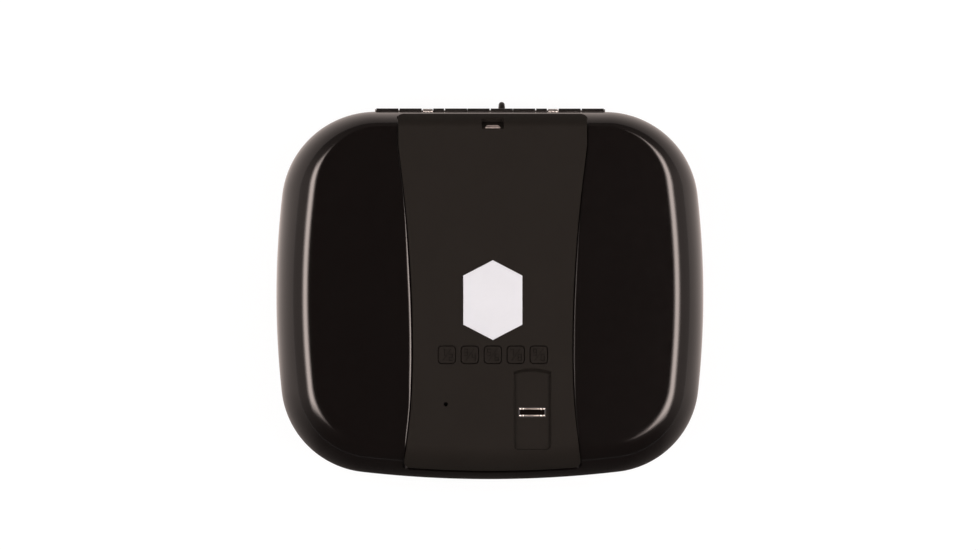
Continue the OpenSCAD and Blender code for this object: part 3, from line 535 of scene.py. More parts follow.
def rounded_side(_y, d):
    """Straight side up to the console's small round edge; the edge runs out at both ends."""
    ease = min(1.0, d / EDGE_R)
    reach = EDGE_R * (0.25 + 0.75 * ease)
    top = CONSOLE_RISE - EDGE_R * 0.8 * (1 - ease)
    return [(0.0, -CONSOLE_SINK), *((-inward, top - down) for inward, down in quarter(reach, 7))]


LIP_W = 2.6
LIP_DROP = 0.48


def lip_side(y, _d):
    """Cutter for the lid's pocket: the lid falls away in a soft lip beside the console's lower half."""
    front = smoothstep(-100, -88, y) * (0.45 + 0.55 * smoothstep(-72, -48, y))
    strength = float(smoothstep(70, 8, y) * front)
    drop = 0.04 + LIP_DROP * strength
    width = 0.5 + (LIP_W - 0.5) * strength
    curve = [(width * t, -drop * (1 - t) ** 2 + 0.015) for t in np.linspace(0, 1, 12)]
    return [(0.0, -CONSOLE_SINK - 0.04), *curve, (width, 6.0)]


def console_body(name, grow, side, extra=0.0):
    return loft(name, console_rows(grow, side, extra))


axis_y = HALF_D + 0.05
BARREL_R = 2.7
HINGE_HALF = 71.2
notch_half = HINGE_HALF + 1.2
leaf_inner = axis_y - BARREL_R
leaf_outer = leaf_inner + 1.0
USB_AT = np.array([0.0, 106.0, 65.6])
USB_RISE = math.radians(33)
MOUTH_Y = -2.25


def usb_frame(points):
    """From the port's own frame (Z leaves the port, Y down the recess floor) to the case's."""
    points = np.asarray(points, float)
    down = np.array([0, math.sin(USB_RISE), -math.cos(USB_RISE)])
    out = np.array([0, math.cos(USB_RISE), math.sin(USB_RISE)])
    return USB_AT + points[:, :1] * [1, 0, 0] + points[:, 1:2] * down + points[:, 2:3] * out


def usb_prism(name, outline, z0, z1):
    return loft(name, [usb_frame(at(outline, z)) for z in (z0, z1)])


def barrel_space():
    """Cutter for the groove that the hinge barrel lies in."""
    left, right = (-notch_half, axis_y, PARTING), (notch_half, axis_y, PARTING)
    return cylinder("barrel space", left, right, BARREL_R + 0.4)


def make_lid():
    outer = lid_rings(0, RIM_LID, PLATEAU, LID_STEPS)
    outer.append(at(plateau_plan(0.8), PLATEAU))
    lid = loft("lid_shell", outer, 40)
    inner = [at(case_plan(LID_WALL), RIM_LID - 2)] + lid_rings(LID_WALL, RIM_LID, CEILING, LID_STEPS_INSIDE)
    cuts = [
        loft("inside", inner),
        console_body("pocket", GROOVE, lip_side, 6.0),
        loft("window", [at(round_rect((0, 3.5), (86, 189), 6), z) for z in (CEILING - 1, PLATEAU + 1)]),
        barrel_space(),
        block("leaf space", (-notch_half + 0.7, HALF_D - 6, PARTING - 3),
              (notch_half - 0.7, leaf_outer, PARTING + 10.5)),
        usb_prism("port space", round_rect((0, 0.25), (16, 11.5), 0.5, 2), -14, 10),
    ]
    lid = combine(lid, cuts)
    weigh_normals(lid)
    return place(lid, "lid", case_gloss, "case_plastic", "lid_shell")


def make_base():
    edge_r, draft, draft_z = 8.0, 1.5, 28.0

    def stack(u, z0, edge, top):
        low = [at(case_plan(u + draft + inward), z0 + rise) for inward, rise in reversed(quarter(edge, 13))]
        return low + [at(case_plan(u), z) for z in (draft_z, draft_z + 0.4, top)]

    rim = stack(0, FLOOR_H, edge_r, RIM_BASE - 0.35)
    rim.append(at(case_plan(0.35), RIM_BASE))
    base = loft("base_shell", rim)
    tongue_top = base_hi.z / MM
    tongue = loft("tongue", [at(case_plan(2.9), RIM_BASE - 2), at(case_plan(2.9), tongue_top - 0.3),
                             at(case_plan(3.2), tongue_top)])
    combine(base, [tongue], "UNION")
    stud_x, stud_z = 44, 24
    cuts = [
        loft("inside", stack(BASE_WALL, FLOOR_H + BASE_WALL, 5.0, PARTING + 4)),
        barrel_space(),
        block("tongue gap", (-notch_half - 1, HALF_D - 8, RIM_BASE),
              (notch_half + 1, HALF_D + 1, PARTING + 6)),
        block("leaf space", (-notch_half + 0.7, HALF_D - 6, PARTING - 10.5),
              (notch_half - 0.7, leaf_outer, PARTING + 4)),
        loft("tether pocket", [at(round_rect((TETHER_X, HALF_D - 0.9), (16, 3.8), 0.3, 2), z)
                               for z in (TETHER_Z - 8, TETHER_Z + 8)]),
    ]
    cuts += [cylinder("mount", (sx * MOUNT_X, sy * MOUNT_Y, 1), (sx * MOUNT_X, sy * MOUNT_Y, 8), 3.5)
             for sx in (-1, 1) for sy in (-1, 1)]
    combine(base, cuts)
    pads = [block("tether pad", (TETHER_X - 7, HALF_D - 6.2, FLOOR_H + 3),
                  (TETHER_X + 7, HALF_D - 3, PARTING - 10))]
    pads += [cylinder("stud", (s * stud_x, -HALF_D + 3, stud_z), (s * stud_x, -107.4, stud_z), 4.5)
             for s in (-1, 1)]
    combine(base, pads, "UNION")
    weigh_normals(base)
    return place(base, "base", case_gloss, "case_plastic", "base_shell")


# ------------------------------------------------------------------ console, keys and what shows in it

KEY_Y, KEY_W, KEY_D, KEY_PITCH = -36.8, 10.5, 10.7, 14.3
KEYS = range(1, 6)
KEY_R, KEY_GAP, KEY_STEM, KEY_FLANGE = 2.1, 0.35, 7.0, (12.6, 12.8)
DIGIT_SIZE, DIGIT_LINE, DIGIT_AT, SLASH_LINE, SLASH_REACH = 3.9, 0.5, (2.4, 1.6), 0.42, (2.5, 3.6)
CHANNEL_X, CHANNEL_W, CHANNEL_REAR, CHANNEL_FRONT, CHANNEL_ARC = 24.7, 23.0, -45.4, -95.9, 36.0
CHANNEL_FLOOR = CONSOLE_TOP - 2.5
SENSOR = np.array([24.6, -72.5])
SENSOR_W, DIE_D, BAR_OFFSET = 15.1, 3.1, 2.1
SOUND = (-29.2, -67.5)
BADGE_Y, BADGE_W, BADGE_D = -2.8, 36.9, 49.7


def mouth_profile(floor, top, flare, foot=0.0):
    """(grow, height) pairs of a recess whose mouth opens in a small radius; its foot may be round too."""
    low = [(-down, floor + inward) for inward, down in quarter(foot, 6)] if foot else [(0, floor)]
    return [*low, *((outward, top - down) for outward, down in quarter(flare, 6)), (flare, top + 3)]


def flared(name, outline, floor, top, flare):
    """Cutter whose mouth opens in a small radius at the surface."""
    return loft(name, [at(outline(grow), z) for grow, z in mouth_profile(floor, top, flare)])


def channel_outline(grow, back=0.0):
    """Two round corners in front and a shallow arc at the rear, moved forward by back."""
    half = CHANNEL_W / 2 + grow
    r = 3.0 + grow
    arc_r = CHANNEL_ARC + grow
    centre_y = CHANNEL_REAR - CHANNEL_ARC - back
    reach = math.degrees(math.asin(half / arc_r))
    rear = arc((CHANNEL_X, centre_y), arc_r, 90 + reach, 90 - reach, 24)
    corner_y = CHANNEL_FRONT + 3.0
    right = arc((CHANNEL_X + half - r, corner_y), r, 0, -90, 8)
    left = arc((CHANNEL_X - half + r, corner_y), r, -90, -180, 8)
    return np.concatenate([rear, right, left])


def channel_cutter():
    """The rear wall leans back, and the foot and the mouth are rounded."""
    depth = CONSOLE_TOP - CHANNEL_FLOOR
    lean = 1.7
    return loft("channel", [at(channel_outline(grow, max(0.0, lean * (1 - (z - CHANNEL_FLOOR) / depth))), z)
                            for grow, z in mouth_profile(CHANNEL_FLOOR, CONSOLE_TOP, 0.5, 0.6)])


def key_x(k):
    return (k - 3) * KEY_PITCH


def hexagon(grow):
    """Long six-sided outline of the badge."""
    half, reach = BADGE_W / 2 + grow, BADGE_D / 2 + grow
    side = BADGE_D / 2 - BADGE_W * 0.26 + grow * 0.4
    points = [(0, reach), (half, side), (half, -side), (0, -reach), (-half, -side), (-half, side)]
    return np.array([(x, y + BADGE_Y) for x, y in points])


def make_console():
    console = console_body("console", 0.0, rounded_side)

    def slot_outline(k, grow):
        gap = 2 * (KEY_GAP + grow)
        return round_rect((key_x(k), KEY_Y), (KEY_W + gap, KEY_D + gap), 2.4 + grow)

    cuts = [channel_cutter()]
    cuts += [flared("slot", lambda g, k=k: slot_outline(k, g), PLATEAU - 4, CONSOLE_TOP, 0.25) for k in KEYS]
    cuts += [
        loft("sensor seat", [at(round_rect(SENSOR, (17.2, 6.2), 0.8), z)
                             for z in (PLATEAU - 8, CONSOLE_TOP)]),
        flared("sound hole", lambda g: circle_at(SOUND, 1.3 + g, 32), PLATEAU - 6, CONSOLE_TOP, 0.15),
        loft("badge seat", [at(hexagon(0.0), z) for z in (CONSOLE_TOP - 0.4, CONSOLE_TOP + 3)]),
        usb_prism("recess", round_rect((0, -1.1), (13.8, 7.8), 1.2, 6), 0, 12),
        usb_prism("mouth", usb_outline(0), -9, 3),
    ]
    pan = block("pan", (CHANNEL_X - 12.4, -90, CHANNEL_FLOOR - 2.5),
                (CHANNEL_X + 12.4, CHANNEL_REAR + 1.3, PLATEAU - 1))
    nose = usb_prism("nose", round_rect((0, 0.25), (15.4, 9.5), 0.5, 2), -3, 0)
    combine(console, [pan, nose], "UNION")
    combine(console, cuts)
    weigh_normals(console)
    return place(console, "lid", console_soft, "console_soft_touch", "console")


# Strokes of each digit, with the letters of a seven-segment display
DIGITS = {
    "0": "abcdef", "1": "bc", "2": "abged", "3": "abgcd", "4": "fgbc",
    "5": "afgcd", "6": "afgedc", "7": "abc", "8": "abcdefg", "9": "abcdfg",
}
STROKES = {
    "a": ((-1, 2), (1, 2)), "b": ((1, 2), (1, 0)), "c": ((1, 0), (1, -2)), "d": ((-1, -2), (1, -2)),
    "e": ((-1, 0), (-1, -2)), "f": ((-1, 2), (-1, 0)), "g": ((-1, 0), (1, 0)),
}


def stroke(p, q, width, z0, z1):
    """Engraving cutter for one straight stroke with round ends."""
    p, q = np.array(p, float), np.array(q, float)
    a = math.degrees(math.atan2(q[1] - p[1], q[0] - p[0]))
    outline = np.concatenate([arc(q, width / 2, a + 90, a - 90, 8), arc(p, width / 2, a - 90, a - 270, 8)])
    return loft("stroke", [at(outline, z0), at(outline, z1)])


def digit_strokes(character, centre, z0, z1):
    def point(p):
        return (centre[0] + p[0] * DIGIT_SIZE / 4, centre[1] + p[1] * DIGIT_SIZE / 4)
    lines = [STROKES[letter] for letter in DIGITS[character]]
    return [stroke(point(a), point(b), DIGIT_LINE, z0, z1) for a, b in lines]


def make_key(k):
    """Key with a round edge, a faint dish and its two digits engraved either side of a slash; the engraving
    floors are painted darker, as painted shade.
    """
    x = key_x(k)
    edge = 0.55
    flange_top = PLATEAU - CONSOLE_SINK - 0.1

    def outline(grow):
        return round_rect((x, KEY_Y), (KEY_W + 2 * grow, KEY_D + 2 * grow), KEY_R + grow)

    stem = round_rect((x, KEY_Y), (KEY_STEM, KEY_STEM), KEY_STEM / 2 - 0.01)
    flange = round_rect((x, KEY_Y), KEY_FLANGE, 2.4)
    rings = [at(stem, z) for z in (flange_top - 3.2, flange_top - 1)]
    rings += [at(flange, z) for z in (flange_top - 0.99, flange_top)]
    rings += [at(outline(0), flange_top + 0.01)]
    rings += [at(outline(-inward), TOP - down) for inward, down in quarter(edge, 7)]
    rings += [at(outline(-edge - d), TOP - 0.16 * (1 - math.cos(math.pi * t)) / 2)
              for t, d in ((0.25, 0.8), (0.5, 1.5), (0.75, 2.3), (1.0, 3.2))]
    key = loft(f"key_{k}", rings)
    z0, z1 = TOP - 0.42, TOP + 1
    dx, dy = DIGIT_AT
    slash_x, slash_y = SLASH_REACH
    cuts = digit_strokes(str(2 * k - 1), (x - dx, KEY_Y + dy), z0, z1)
    cuts += digit_strokes(str((2 * k) % 10), (x + dx, KEY_Y - dy), z0, z1)
    cuts.append(stroke((x - slash_x, KEY_Y - slash_y), (x + slash_x, KEY_Y + slash_y), SLASH_LINE, z0, z1))
    combine(key, cuts)
    weigh_normals(key)
    place(key, f"key_{k}", key_rubber, "key_silicone", f"key_{k}")
    # The floors of the engraved digits and slash take the darker rubber: painted shade in the recesses
    key.data.materials.append(key_engraving_shade)
    for face in key.data.polygons:
        engraved = (TOP - 0.45) * MM < face.center.z < (TOP - 0.25) * MM and face.normal.z > 0.5
        aside = max(abs(face.center.x / MM - x), abs(face.center.y / MM - SHIFT_Y - KEY_Y))
        face.material_index = int(engraved and aside < 4.4)
    return key


def make_badge():
    low = CONSOLE_TOP - 0.35
    rings = [at(hexagon(grow), z) for grow, z in ((-0.06, low), (-0.06, TOP - 0.18), (-0.24, TOP))]
    badge = loft("badge", rings, 20)
    return place(badge, "lid", badge_paint, "badge_white", "badge")


def make_sensor():
    """Dark sensing strip, and two chrome bars with raised contacts near their ends."""
    floor = CHANNEL_FLOOR

    def strip(grow, r, z):
        return at(round_rect(SENSOR, (SENSOR_W + 2 * grow, DIE_D + 2 * grow), r), z)

    die = loft("fingerprint_sensor", [strip(0, 0.4, floor - 1.6), strip(0, 0.4, floor + 0.1),
                                      strip(-0.2, 0.3, floor + 0.25)])
    place(die, "lid", sensor_glass, "sensor_black", "fingerprint_sensor")
    tray = loft("sensor_tray", [at(round_rect(SENSOR, (17.1, 6.1), 0.8), z)
                                for z in (floor - 1.9, floor - 0.1)])
    hole = loft("hole", [strip(0.05, 0.4, z) for z in (floor - 3, floor + 2)])
    combine(tray, [hole])
    place(tray, "lid", black_vinyl, "sensor_black")
    parts = []
    for s in (-1, 1):
        y = SENSOR[1] + s * BAR_OFFSET
        for x0, x1, h, w in ((-4.5, 4.5, 0.30, 0.95), (-6.0, -4.9, 0.48, 1.1), (4.9, 6.0, 0.48, 1.1),
                             (-8.1, -6.7, 0.36, 0.95), (6.7, 8.1, 0.36, 0.95), (-7.9, 7.9, 0.12, 0.7)):
            centre = (SENSOR[0] + (x0 + x1) / 2, y)
            r = min(0.55, w / 2 - 0.02)
            top = floor + h
            stack = [(0.0, floor - 0.4), (0.0, top - 0.22), (-0.10, top - 0.08), (-0.28, top)]
            parts.append(loft("bar", [at(round_rect(centre, (x1 - x0 + 2 * g, w + 2 * g), max(r + g, 0.1)), z)
                                      for g, z in stack]))
    bars = join("sensor_bezel", parts)
    place(bars, "lid", chrome, "sensor_chrome", "sensor_bezel")
    bars.data.materials.append(chrome_contact)
    for face in bars.data.polygons:
        face.material_index = int(face.center.z > (floor + 0.31) * MM)


def usb_outline(u):
    """Port mouth, wide side up, with small corner chamfers, moved in by u."""
    w, h, c = 4.7 - u, 1.45 - u, 0.3
    corners = [(-w + c, -h), (-w, -h + c), (-w + 0.9, h - c), (-w + 1.2 + c, h), (w - 1.2 - c, h),
               (w - 0.9, h - c), (w, -h + c), (w - c, -h)]
    return np.array([(x, y + MOUTH_Y) for x, y in corners])


def make_usb():
    shell = loft("usb_port", [usb_frame(at(usb_outline(u), z))
                              for u, z in ((0.02, -7.4), (0.02, 0.45), (0.17, 0.6))])
    cavity = usb_prism("cavity", usb_outline(0.42), -6, 2)
    combine(shell, [cavity])
    tongue = usb_prism("usb_tongue", round_rect((0, MOUTH_Y - 0.1), (6.6, 1.3), 0.3, 3), -6.1, -0.35)
    place(shell, "lid", dull_steel, "bright_steel", "usb_port")
    place(tongue, "lid", dull_steel, "bright_steel")


# ------------------------------------------------------------------ hinge, springs and tether

KNUCKLES = 10
ROLL_R = 2.05  # the rolled knuckles are slimmer than the space kept for them
PIN_R = 1.1
KNUCKLE = 2 * HINGE_HALF / KNUCKLES
KNUCKLE_GAPS = (0.3, 0.75)
SPRING_LEN = KNUCKLE / 2
SPRING_X = HINGE_HALF - 2 * KNUCKLE
TETHER_X, TETHER_Z, TETHER_R, TETHER_BEND = 8.1, 15.5, 1.85, 6.0
RIVETS = [21 * (i - 2.5) for i in range(6)]
RIVET_RISE = 6.5


def knuckle_span(k):
    x0 = -HINGE_HALF + k * KNUCKLE + (SPRING_LEN if k == 2 else 0)
    x1 = -HINGE_HALF + (k + 1) * KNUCKLE - (SPRING_LEN if k == KNUCKLES - 3 else 0)
    return x0 + KNUCKLE_GAPS[k % 2] / 2, x1 - KNUCKLE_GAPS[(k + 1) % 2] / 2


def rolled_knuckle(x0, x1, side, bore):
    """Sheet metal rolled round the pin: it leaves the leaf's plate and ends in an open seam."""
    turn = np.radians(np.linspace(0, 292, 44))
    # The roll starts at the plate, at the barrel's inner side, and goes over the outside
    start = math.pi
    angles = start + turn * (1 if side < 0 else -1)
    outer = np.stack([axis_y + ROLL_R * np.cos(angles), PARTING + ROLL_R * np.sin(angles)], 1)
    inner = np.stack([axis_y + bore * np.cos(angles), PARTING + bore * np.sin(angles)], 1)
    foot = PARTING + side * 4.0
    outline = np.concatenate([
        [(leaf_inner, foot)], outer, inner[::-1], [(leaf_inner + 1.0, foot)]])
    ring = [np.column_stack([np.full(len(outline), x), outline]) for x in (x0, x1)]
    if side > 0:
        ring = [r[::-1] for r in ring]
    return loft("knuckle", ring, 40)


def make_leaf(name, body, first, side):
    """Leaf plate with rivet holes, and its knuckles."""
    lo, hi = sorted((PARTING + side * 3.6, PARTING + side * 10))
    plate = block("plate", (-HINGE_HALF, leaf_inner, lo), (HINGE_HALF, leaf_outer, hi))
    z = PARTING + side * RIVET_RISE
    holes = [cylinder("hole", (x, leaf_inner - 1, z), (x, leaf_outer + 1, z), 1.2) for x in RIVETS]
    combine(plate, holes)
    bore = PIN_R + (0.0 if side < 0 else 0.05)
    rolls = [rolled_knuckle(*knuckle_span(k), side, bore) for k in range(first, KNUCKLES, 2)]
    leaf = join(name, [plate, *rolls], 40)
    return place(leaf, body, black_steel, "black_steel", name)


def make_pin():
    reach = HINGE_HALF + 0.1
    bar = cylinder("bar", (-reach, axis_y, PARTING), (reach, axis_y, PARTING), PIN_R - 0.02)
    heads = [cylinder("head", (s * reach, axis_y, PARTING), (s * (reach + 0.6), axis_y, PARTING), 1.7, 0.18)
             for s in (-1, 1)]
    pin = join("hinge_pin", [bar, *heads])
    return place(pin, "base", bright_steel, "bright_steel", "hinge_pin")


def make_rivets(name, body, side):
    """Domed rivet heads on the leaf, and their shanks."""
    z = PARTING + side * RIVET_RISE
    angles = np.linspace(0, -2 * math.pi, 32, endpoint=False)
    circle = np.stack([np.cos(angles), np.zeros(32), np.sin(angles)], 1)
    shank = [(HALF_D - 0.15, 1.15), (leaf_inner, 1.15)]
    dome = [(leaf_inner - 0.8 * math.sin(a), 0.2 + 1.95 * math.cos(a)) for a in np.linspace(0, math.pi / 2, 7)]
    stack = [*shank, *dome][::-1]
    rivets = join(name, [loft("rivet", [np.array([x, y, z]) + circle * r for y, r in stack]) for x in RIVETS])
    return place(rivets, body, black_steel, "black_steel", name)


SPRING_TURNS = 7
SPRING_WIRE = 0.76


def make_spring(name, s):
    """Close-wound coil on the pin with a leg on the base leaf; the lid leaf's leg is its own piece."""
    radius = PIN_R + 0.1 + SPRING_WIRE / 2
    pitch = (SPRING_LEN - 0.9) / SPRING_TURNS
    middle = s * (SPRING_X - SPRING_LEN / 2)
    turns = np.linspace(0, SPRING_TURNS - 0.5, 24 * SPRING_TURNS)
    angle = math.pi + 2 * math.pi * turns
    coil = np.stack([middle + pitch * (turns - (SPRING_TURNS - 0.5) / 2), axis_y + radius * np.cos(angle),
                     PARTING + radius * np.sin(angle)], 1)
    wire_y = leaf_inner - 0.5
    low_leg = [(coil[0][0], wire_y, PARTING - 8.6), (coil[0][0], wire_y, PARTING - 5),
               (coil[0][0], wire_y + 0.1, PARTING - 2.6), (coil[0][0], axis_y - radius - 0.05, PARTING - 0.8)]
    spring = tube(name, np.concatenate([smooth_path(low_leg, 4), coil]), SPRING_WIRE / 2 - 0.03, 12)
    place(spring, "base", spring_steel, "spring_steel", name)
    x = coil[-1][0]
    high_leg = [(x, axis_y + 0.4, PARTING + radius), (x, axis_y - 1.2, PARTING + radius + 0.25),
                (x, wire_y, PARTING + 3.8), (x, wire_y, PARTING + 8.6)]
    leg = tube(name + "_leg", smooth_path(high_leg, 6), SPRING_WIRE / 2 - 0.03, 12)
    place(leg, "lid", spring_steel, "spring_steel")


def smooth_path(corners, steps):
    """Catmull-Rom curve through a chain of points."""
    p = np.asarray(corners, float)
    p = np.vstack([2 * p[0] - p[1], p, 2 * p[-1] - p[-2]])
    made = []
    for i in range(1, len(p) - 2):
        for t in np.arange(steps) / steps:
            made.append(0.5 * (2 * p[i] + (p[i + 1] - p[i - 1]) * t
                               + (2 * p[i - 1] - 5 * p[i] + 4 * p[i + 1] - p[i + 2]) * t ** 2
                               + (3 * p[i] - p[i - 1] - 3 * p[i + 1] + p[i + 2]) * t ** 3))
    return np.array([*made, p[-2]])


def make_tether():
    """U-shaped rod through the rear wall."""
    tip = cad_hi.y / MM - SHIFT_Y
    bend_y = tip - TETHER_R - TETHER_BEND
    inner = HALF_D - 10.2
    angles = np.radians(np.linspace(-90, 90, 33))
    bend = np.stack([np.full(33, TETHER_X), bend_y + TETHER_BEND * np.cos(angles),
                     TETHER_Z + TETHER_BEND * np.sin(angles)], 1)
    legs = np.linspace(inner, bend_y, 6)[:-1]
    low = [(TETHER_X, y, TETHER_Z - TETHER_BEND) for y in legs]
    high = [(TETHER_X, y, TETHER_Z + TETHER_BEND) for y in legs[::-1]]
    loop = tube("tether_loop", np.array([*low, *bend, *high]), TETHER_R, 24)
    return place(loop, "base", black_steel, "black_steel", "tether_loop")


# ------------------------------------------------------------------ foam lining and feet


CROWN_W = 16


def cushion(name, outline, z0, z1, edge, crown, flip=False):
    """Foam slab: flat where it is glued, round edges and a soft crown on its free face."""
    rings = [(0.0, z0), (0.0, z1 - edge)]
    rings += [(inward, z1 - down) for inward, down in quarter(edge, 8, 0.2)]
    rings += [(edge + CROWN_W * t, z1 + crown * math.sin(t * math.pi / 2)) for t in np.linspace(0.1, 1, 8)]
    stack = [at(outline(u), 2 * z0 - z if flip else z) for u, z in rings]
    return loft(name, stack[::-1] if flip else stack, 50)


def make_foams():
    low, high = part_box("base_foam")
    z0, z1 = low.z / MM, high.z / MM
    pad = cushion("base_lining", lambda u: case_plan(11.2 + u), z0, z1 - 0.5, 2.4, 0.5)
    holes = [flared("access", lambda g, at_mount=(sx * MOUNT_X, sy * MOUNT_Y): circle_at(at_mount, 11 + g),
                    z0 - 1, z1 - 0.3, 1.0) for sx in (-1, 1) for sy in (-1, 1)]
    combine(pad, holes, smooth=50)
    place(pad, "base", foam, "foam", "base_foam")
    for node in ("lid_foam_left", "lid_foam_right"):
        low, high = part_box(node)
        centre = ((low.x + high.x) / 2 / MM, (low.y + high.y) / 2 / MM - SHIFT_Y)
        size = ((high.x - low.x) / MM - 0.4, (high.y - low.y) / MM - 0.4)

        def outline(u, centre=centre, size=size):
            return round_rect(centre, (size[0] - 2 * u, size[1] - 2 * u), max(16 - u, 0.5), 12)

        top = high.z / MM
        depth = (high.z - low.z) / MM - 0.5
        lining = cushion(node.replace("foam", "lining"), outline, top, top + depth, 3.0, 0.5, flip=True)
        place(lining, "lid", foam, "foam", node)


def make_foot(name, sx, sy):
    """Rubber foot with a round edge and three shallow rings."""
    centre = (sx * FOOT_X, sy * FOOT_Y)
    profile = [(FOOT_R - 0.05, FLOOR_H), (FOOT_R, 1.2)]
    profile += [(FOOT_R - inward, z) for inward, z in quarter(0.6, 6)]
    for r in (6.2, 4.2, 2.2):
        profile += [(r + 0.3, 0.0), (r, 0.25), (r - 0.3, 0.0)]
    rings = [at(circle_at(centre, r), z) for r, z in profile]
    foot = loft(name, rings[::-1])
    return place(foot, "base", foot_rubber, "foot_rubber", name)


# ------------------------------------------------------------------ everything else keeps its CAD shape

CARRIED = {
    "striker_bracket": zinc, "striker_screws": black_steel, "tether_nuts": zinc, "keypad_mat": key_rubber,
    "control_board": board_green, "buzzer": inner_plastic, "inner_cover": inner_plastic, "latch_frame": zinc,
    "latch_gearbox": brass, "latch_motor": bright_steel, "latch_switch": inner_plastic, "latch_bar": zinc,
    "latch_pinion": nylon, "battery_holder": inner_plastic, "battery_contacts": spring_steel,
    "battery_door": inner_plastic, "sensor_ribbon": amber_film, "battery_leads": red_vinyl,
    "motor_leads": black_vinyl, "cover_screws": black_steel, "frame_screws": bright_steel,
    "board_screws": bright_steel, "console_screws": bright_steel,
    **{f"battery_{k}": cell_film for k in range(1, 5)},
}
BEVELLED = ("striker_bracket", "inner_cover", "latch_frame", "latch_gearbox", "latch_switch", "latch_bar",
            "battery_holder", "battery_door", "control_board", "tether_nuts")


def dress_carried():
    for name, material in CARRIED.items():
        ob = nodes[name]
        ob.data.materials.clear()
        ob.data.materials.append(material)
        if name in BEVELLED:
            weld = ob.modifiers.new("weld", "WELD")
            weld.merge_threshold = 0.00001
            bevel = ob.modifiers.new("edge", "BEVEL")
            bevel.width = 0.00022
            bevel.segments = 2
            bevel.limit_method = "ANGLE"
            bevel.angle_limit = math.radians(40)
            bevel.harden_normals = False
            weigh_normals(ob)


# ------------------------------------------------------------------ stage, light and camera


# Light around the box by compass direction, as turns from -X through the front, +X and the rear: bright sides
# and a dark front; the rear is given apart
SIDES = [(0.0, 1.0), (0.042, 0.82), (0.083, 0.42), (0.125, 0.1), (0.17, 0.04)]
SIDES += [(0.5 - turn, level) for turn, level in reversed(SIDES)]
WARM = (1.0, 0.85, 0.79)


def around(tree, vector, level, rear):
    """Warm light level by compass direction."""
    turn = tree.nodes.new("ShaderNodeTexGradient")
    turn.gradient_type = "RADIAL"
    tree.links.new(vector, turn.inputs["Vector"])
    corner, middle = rear
    behind = [(0.54, 1.0), (0.625, corner), (0.7, middle), (0.8, middle), (0.875, corner), (0.96, 1.0)]
    stops = [*SIDES, *behind, (1.0, 1.0)]
    return ramp(tree, turn.outputs["Fac"], [(t, (*(v * level * c for c in WARM), 1)) for t, v in stops])


def multiply(tree, a, b):
    node = tree.nodes.new("ShaderNodeMix")
    node.data_type = "RGBA"
    node.blend_type = "MULTIPLY"
    node.inputs["Factor"].default_value = 1.0
    tree.links.new(a, node.inputs["A"])
    tree.links.new(b, node.inputs["B"])
    return node.outputs["Result"]


def disc(name, radius, z, material):
    steps = 96
    angles = np.linspace(0, -2 * math.pi, steps, endpoint=False)
    circle = np.stack([np.cos(angles), np.sin(angles)], 1) * radius
    ob = add_object(name, at(circle, z), [list(reversed(range(steps)))])
    ob.data.materials.append(material)
    return ob


def make_stage():
    """Pale paper lit from below, and what the glossy case mirrors of it: dark in front, dim behind."""
    paper, tree, shader = new_material("floor_paper")
    tone = ramp(tree, noise(tree, 6, 3), [(0.3, grey(0.12)), (0.7, grey(0.13))])
    tree.links.new(tone, shader.inputs["Base Color"])
    shader.inputs["Roughness"].default_value = 0.9
    shader.inputs["Specular IOR Level"].default_value = 0.1
    shader.inputs["Emission Color"].default_value = (1, 1, 1, 1)
    shader.inputs["Emission Strength"].default_value = 0.92
    disc("floor", 6000, -0.05, paper)
    mirrored, tree, shader = new_material("floor_mirrored")
    coords = tree.nodes.new("ShaderNodeTexCoord")
    tree.links.new(around(tree, coords.outputs["Object"], 1.0, (0.65, 0.5)), shader.inputs["Emission Color"])
    shader.inputs["Emission Strength"].default_value = 1.0
    shader.inputs["Base Color"].default_value = grey(0.0)
    shader.inputs["Specular IOR Level"].default_value = 0.0
    card = disc("floor_card", 3000, 0.4, mirrored)
    card.visible_camera = card.visible_diffuse = card.visible_shadow = card.visible_transmission = False


LAMP = (1.0, 0.95, 0.93)
STRIP_X = (-0.91, 0.70)
STRIP_Z = 1.15
# Size and radiance of the lights that overlap in one strip: a hot middle, its surround and a faint halo
STRIP = [((0.30, 0.85), 8.5), ((0.52, 1.10), 5.3), ((0.78, 1.30), 1.4)]
# Position, size and radiance of the lights that only brighten matt surfaces
FILLS = [((0, 0, 2.2), (2.0, 2.0), 0.5), ((0, -1.6, 0.9), (1.6, 0.8), 0.5)]
FILLS += [((side * 0.8, 0, STRIP_Z), (0.4, 1.3), 4.0) for side in (-1, 1)]


def area_light(name, position, size, radiance, colour):
    """Rectangular light turned to the box, its second size along Y."""
    data = bpy.data.lights.new(name, "AREA")
    data.shape = "RECTANGLE"
    data.size, data.size_y = size
    data.energy = 4 * radiance * size[0] * size[1]
    data.color = colour
    ob = bpy.data.objects.new(name, data)
    bpy.context.scene.collection.objects.link(ob)
    ob.location = position
    ob.rotation_mode = "QUATERNION"
    back = (Vector(position) - Vector((0, 0, 0.05))).normalized()
    side = Vector((0, 1, 0)).cross(back).normalized()
    ob.rotation_quaternion = Matrix((side, back.cross(side), back)).transposed().to_quaternion()
    ob.visible_camera = False
    return ob


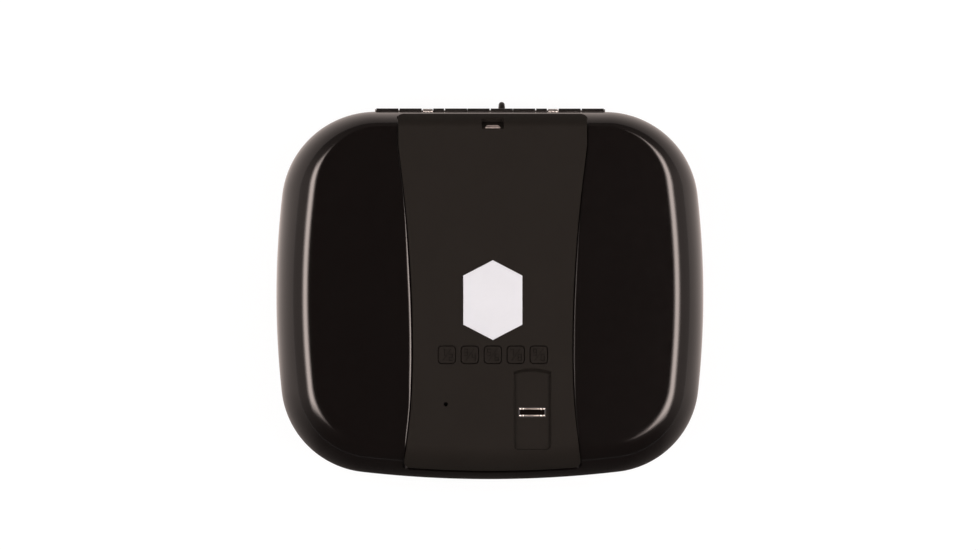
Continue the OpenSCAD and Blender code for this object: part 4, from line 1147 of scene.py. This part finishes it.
def make_light():
    """A strip softbox on each side, and a world that is pale at the sides and dark on top."""
    world = bpy.data.worlds.new("studio")
    bpy.context.scene.world = world
    world.use_nodes = True
    tree = world.node_tree
    coords = tree.nodes.new("ShaderNodeTexCoord")
    split = tree.nodes.new("ShaderNodeSeparateXYZ")
    tree.links.new(coords.outputs["Generated"], split.inputs["Vector"])
    height = ramp(tree, split.outputs["Z"], [(0.0, grey(1.0)), (0.8, grey(1.0)), (0.93, grey(0.0))])
    level = multiply(tree, around(tree, coords.outputs["Generated"], 0.63, (0.3, 0.22)), height)
    tree.links.new(level, tree.nodes["Background"].inputs["Color"])
    for x in STRIP_X:
        for size, radiance in STRIP:
            strip = area_light("softbox", (x, 0.0, STRIP_Z), size, radiance, WARM)
            strip.visible_diffuse = False
    for position, size, radiance in FILLS:
        fill = area_light("fill", position, size, radiance, LAMP)
        fill.visible_glossy = False


def make_camera():
    """Above and a little off to the left, so raised parts lean to the right."""
    data = bpy.data.cameras.new("camera")
    data.sensor_width = 36
    distance, width, tilt = 7.0, 0.6108, math.radians(2.7)
    data.lens = data.sensor_width * distance / width
    camera = bpy.data.objects.new("camera", data)
    bpy.context.scene.collection.objects.link(camera)
    aim = Vector((-0.7, 12.8 + SHIFT_Y, PARTING)) * MM
    camera.location = aim + Vector((-math.sin(tilt), 0, math.cos(tilt))) * distance
    camera.rotation_euler = (0, -tilt, 0)
    data.clip_end = 50
    bpy.context.scene.camera = camera


make_lid()
make_base()
make_console()
for number in KEYS:
    make_key(number)
make_badge()
make_sensor()
make_usb()
make_leaf("hinge_base_leaf", "base", 0, -1)
make_leaf("hinge_lid_leaf", "lid", 1, 1)
make_pin()
make_rivets("hinge_base_rivets", "base", -1)
make_rivets("hinge_lid_rivets", "lid", 1)
make_spring("lift_spring_left", -1)
make_spring("lift_spring_right", 1)
make_tether()
make_foams()
for end, end_sign in (("front", -1), ("rear", 1)):
    for hand, hand_sign in (("left", -1), ("right", 1)):
        make_foot(f"foot_{end}_{hand}", hand_sign, end_sign)
dress_carried()
make_stage()
make_light()
make_camera()
bpy.context.scene.view_settings.view_transform = "Standard"
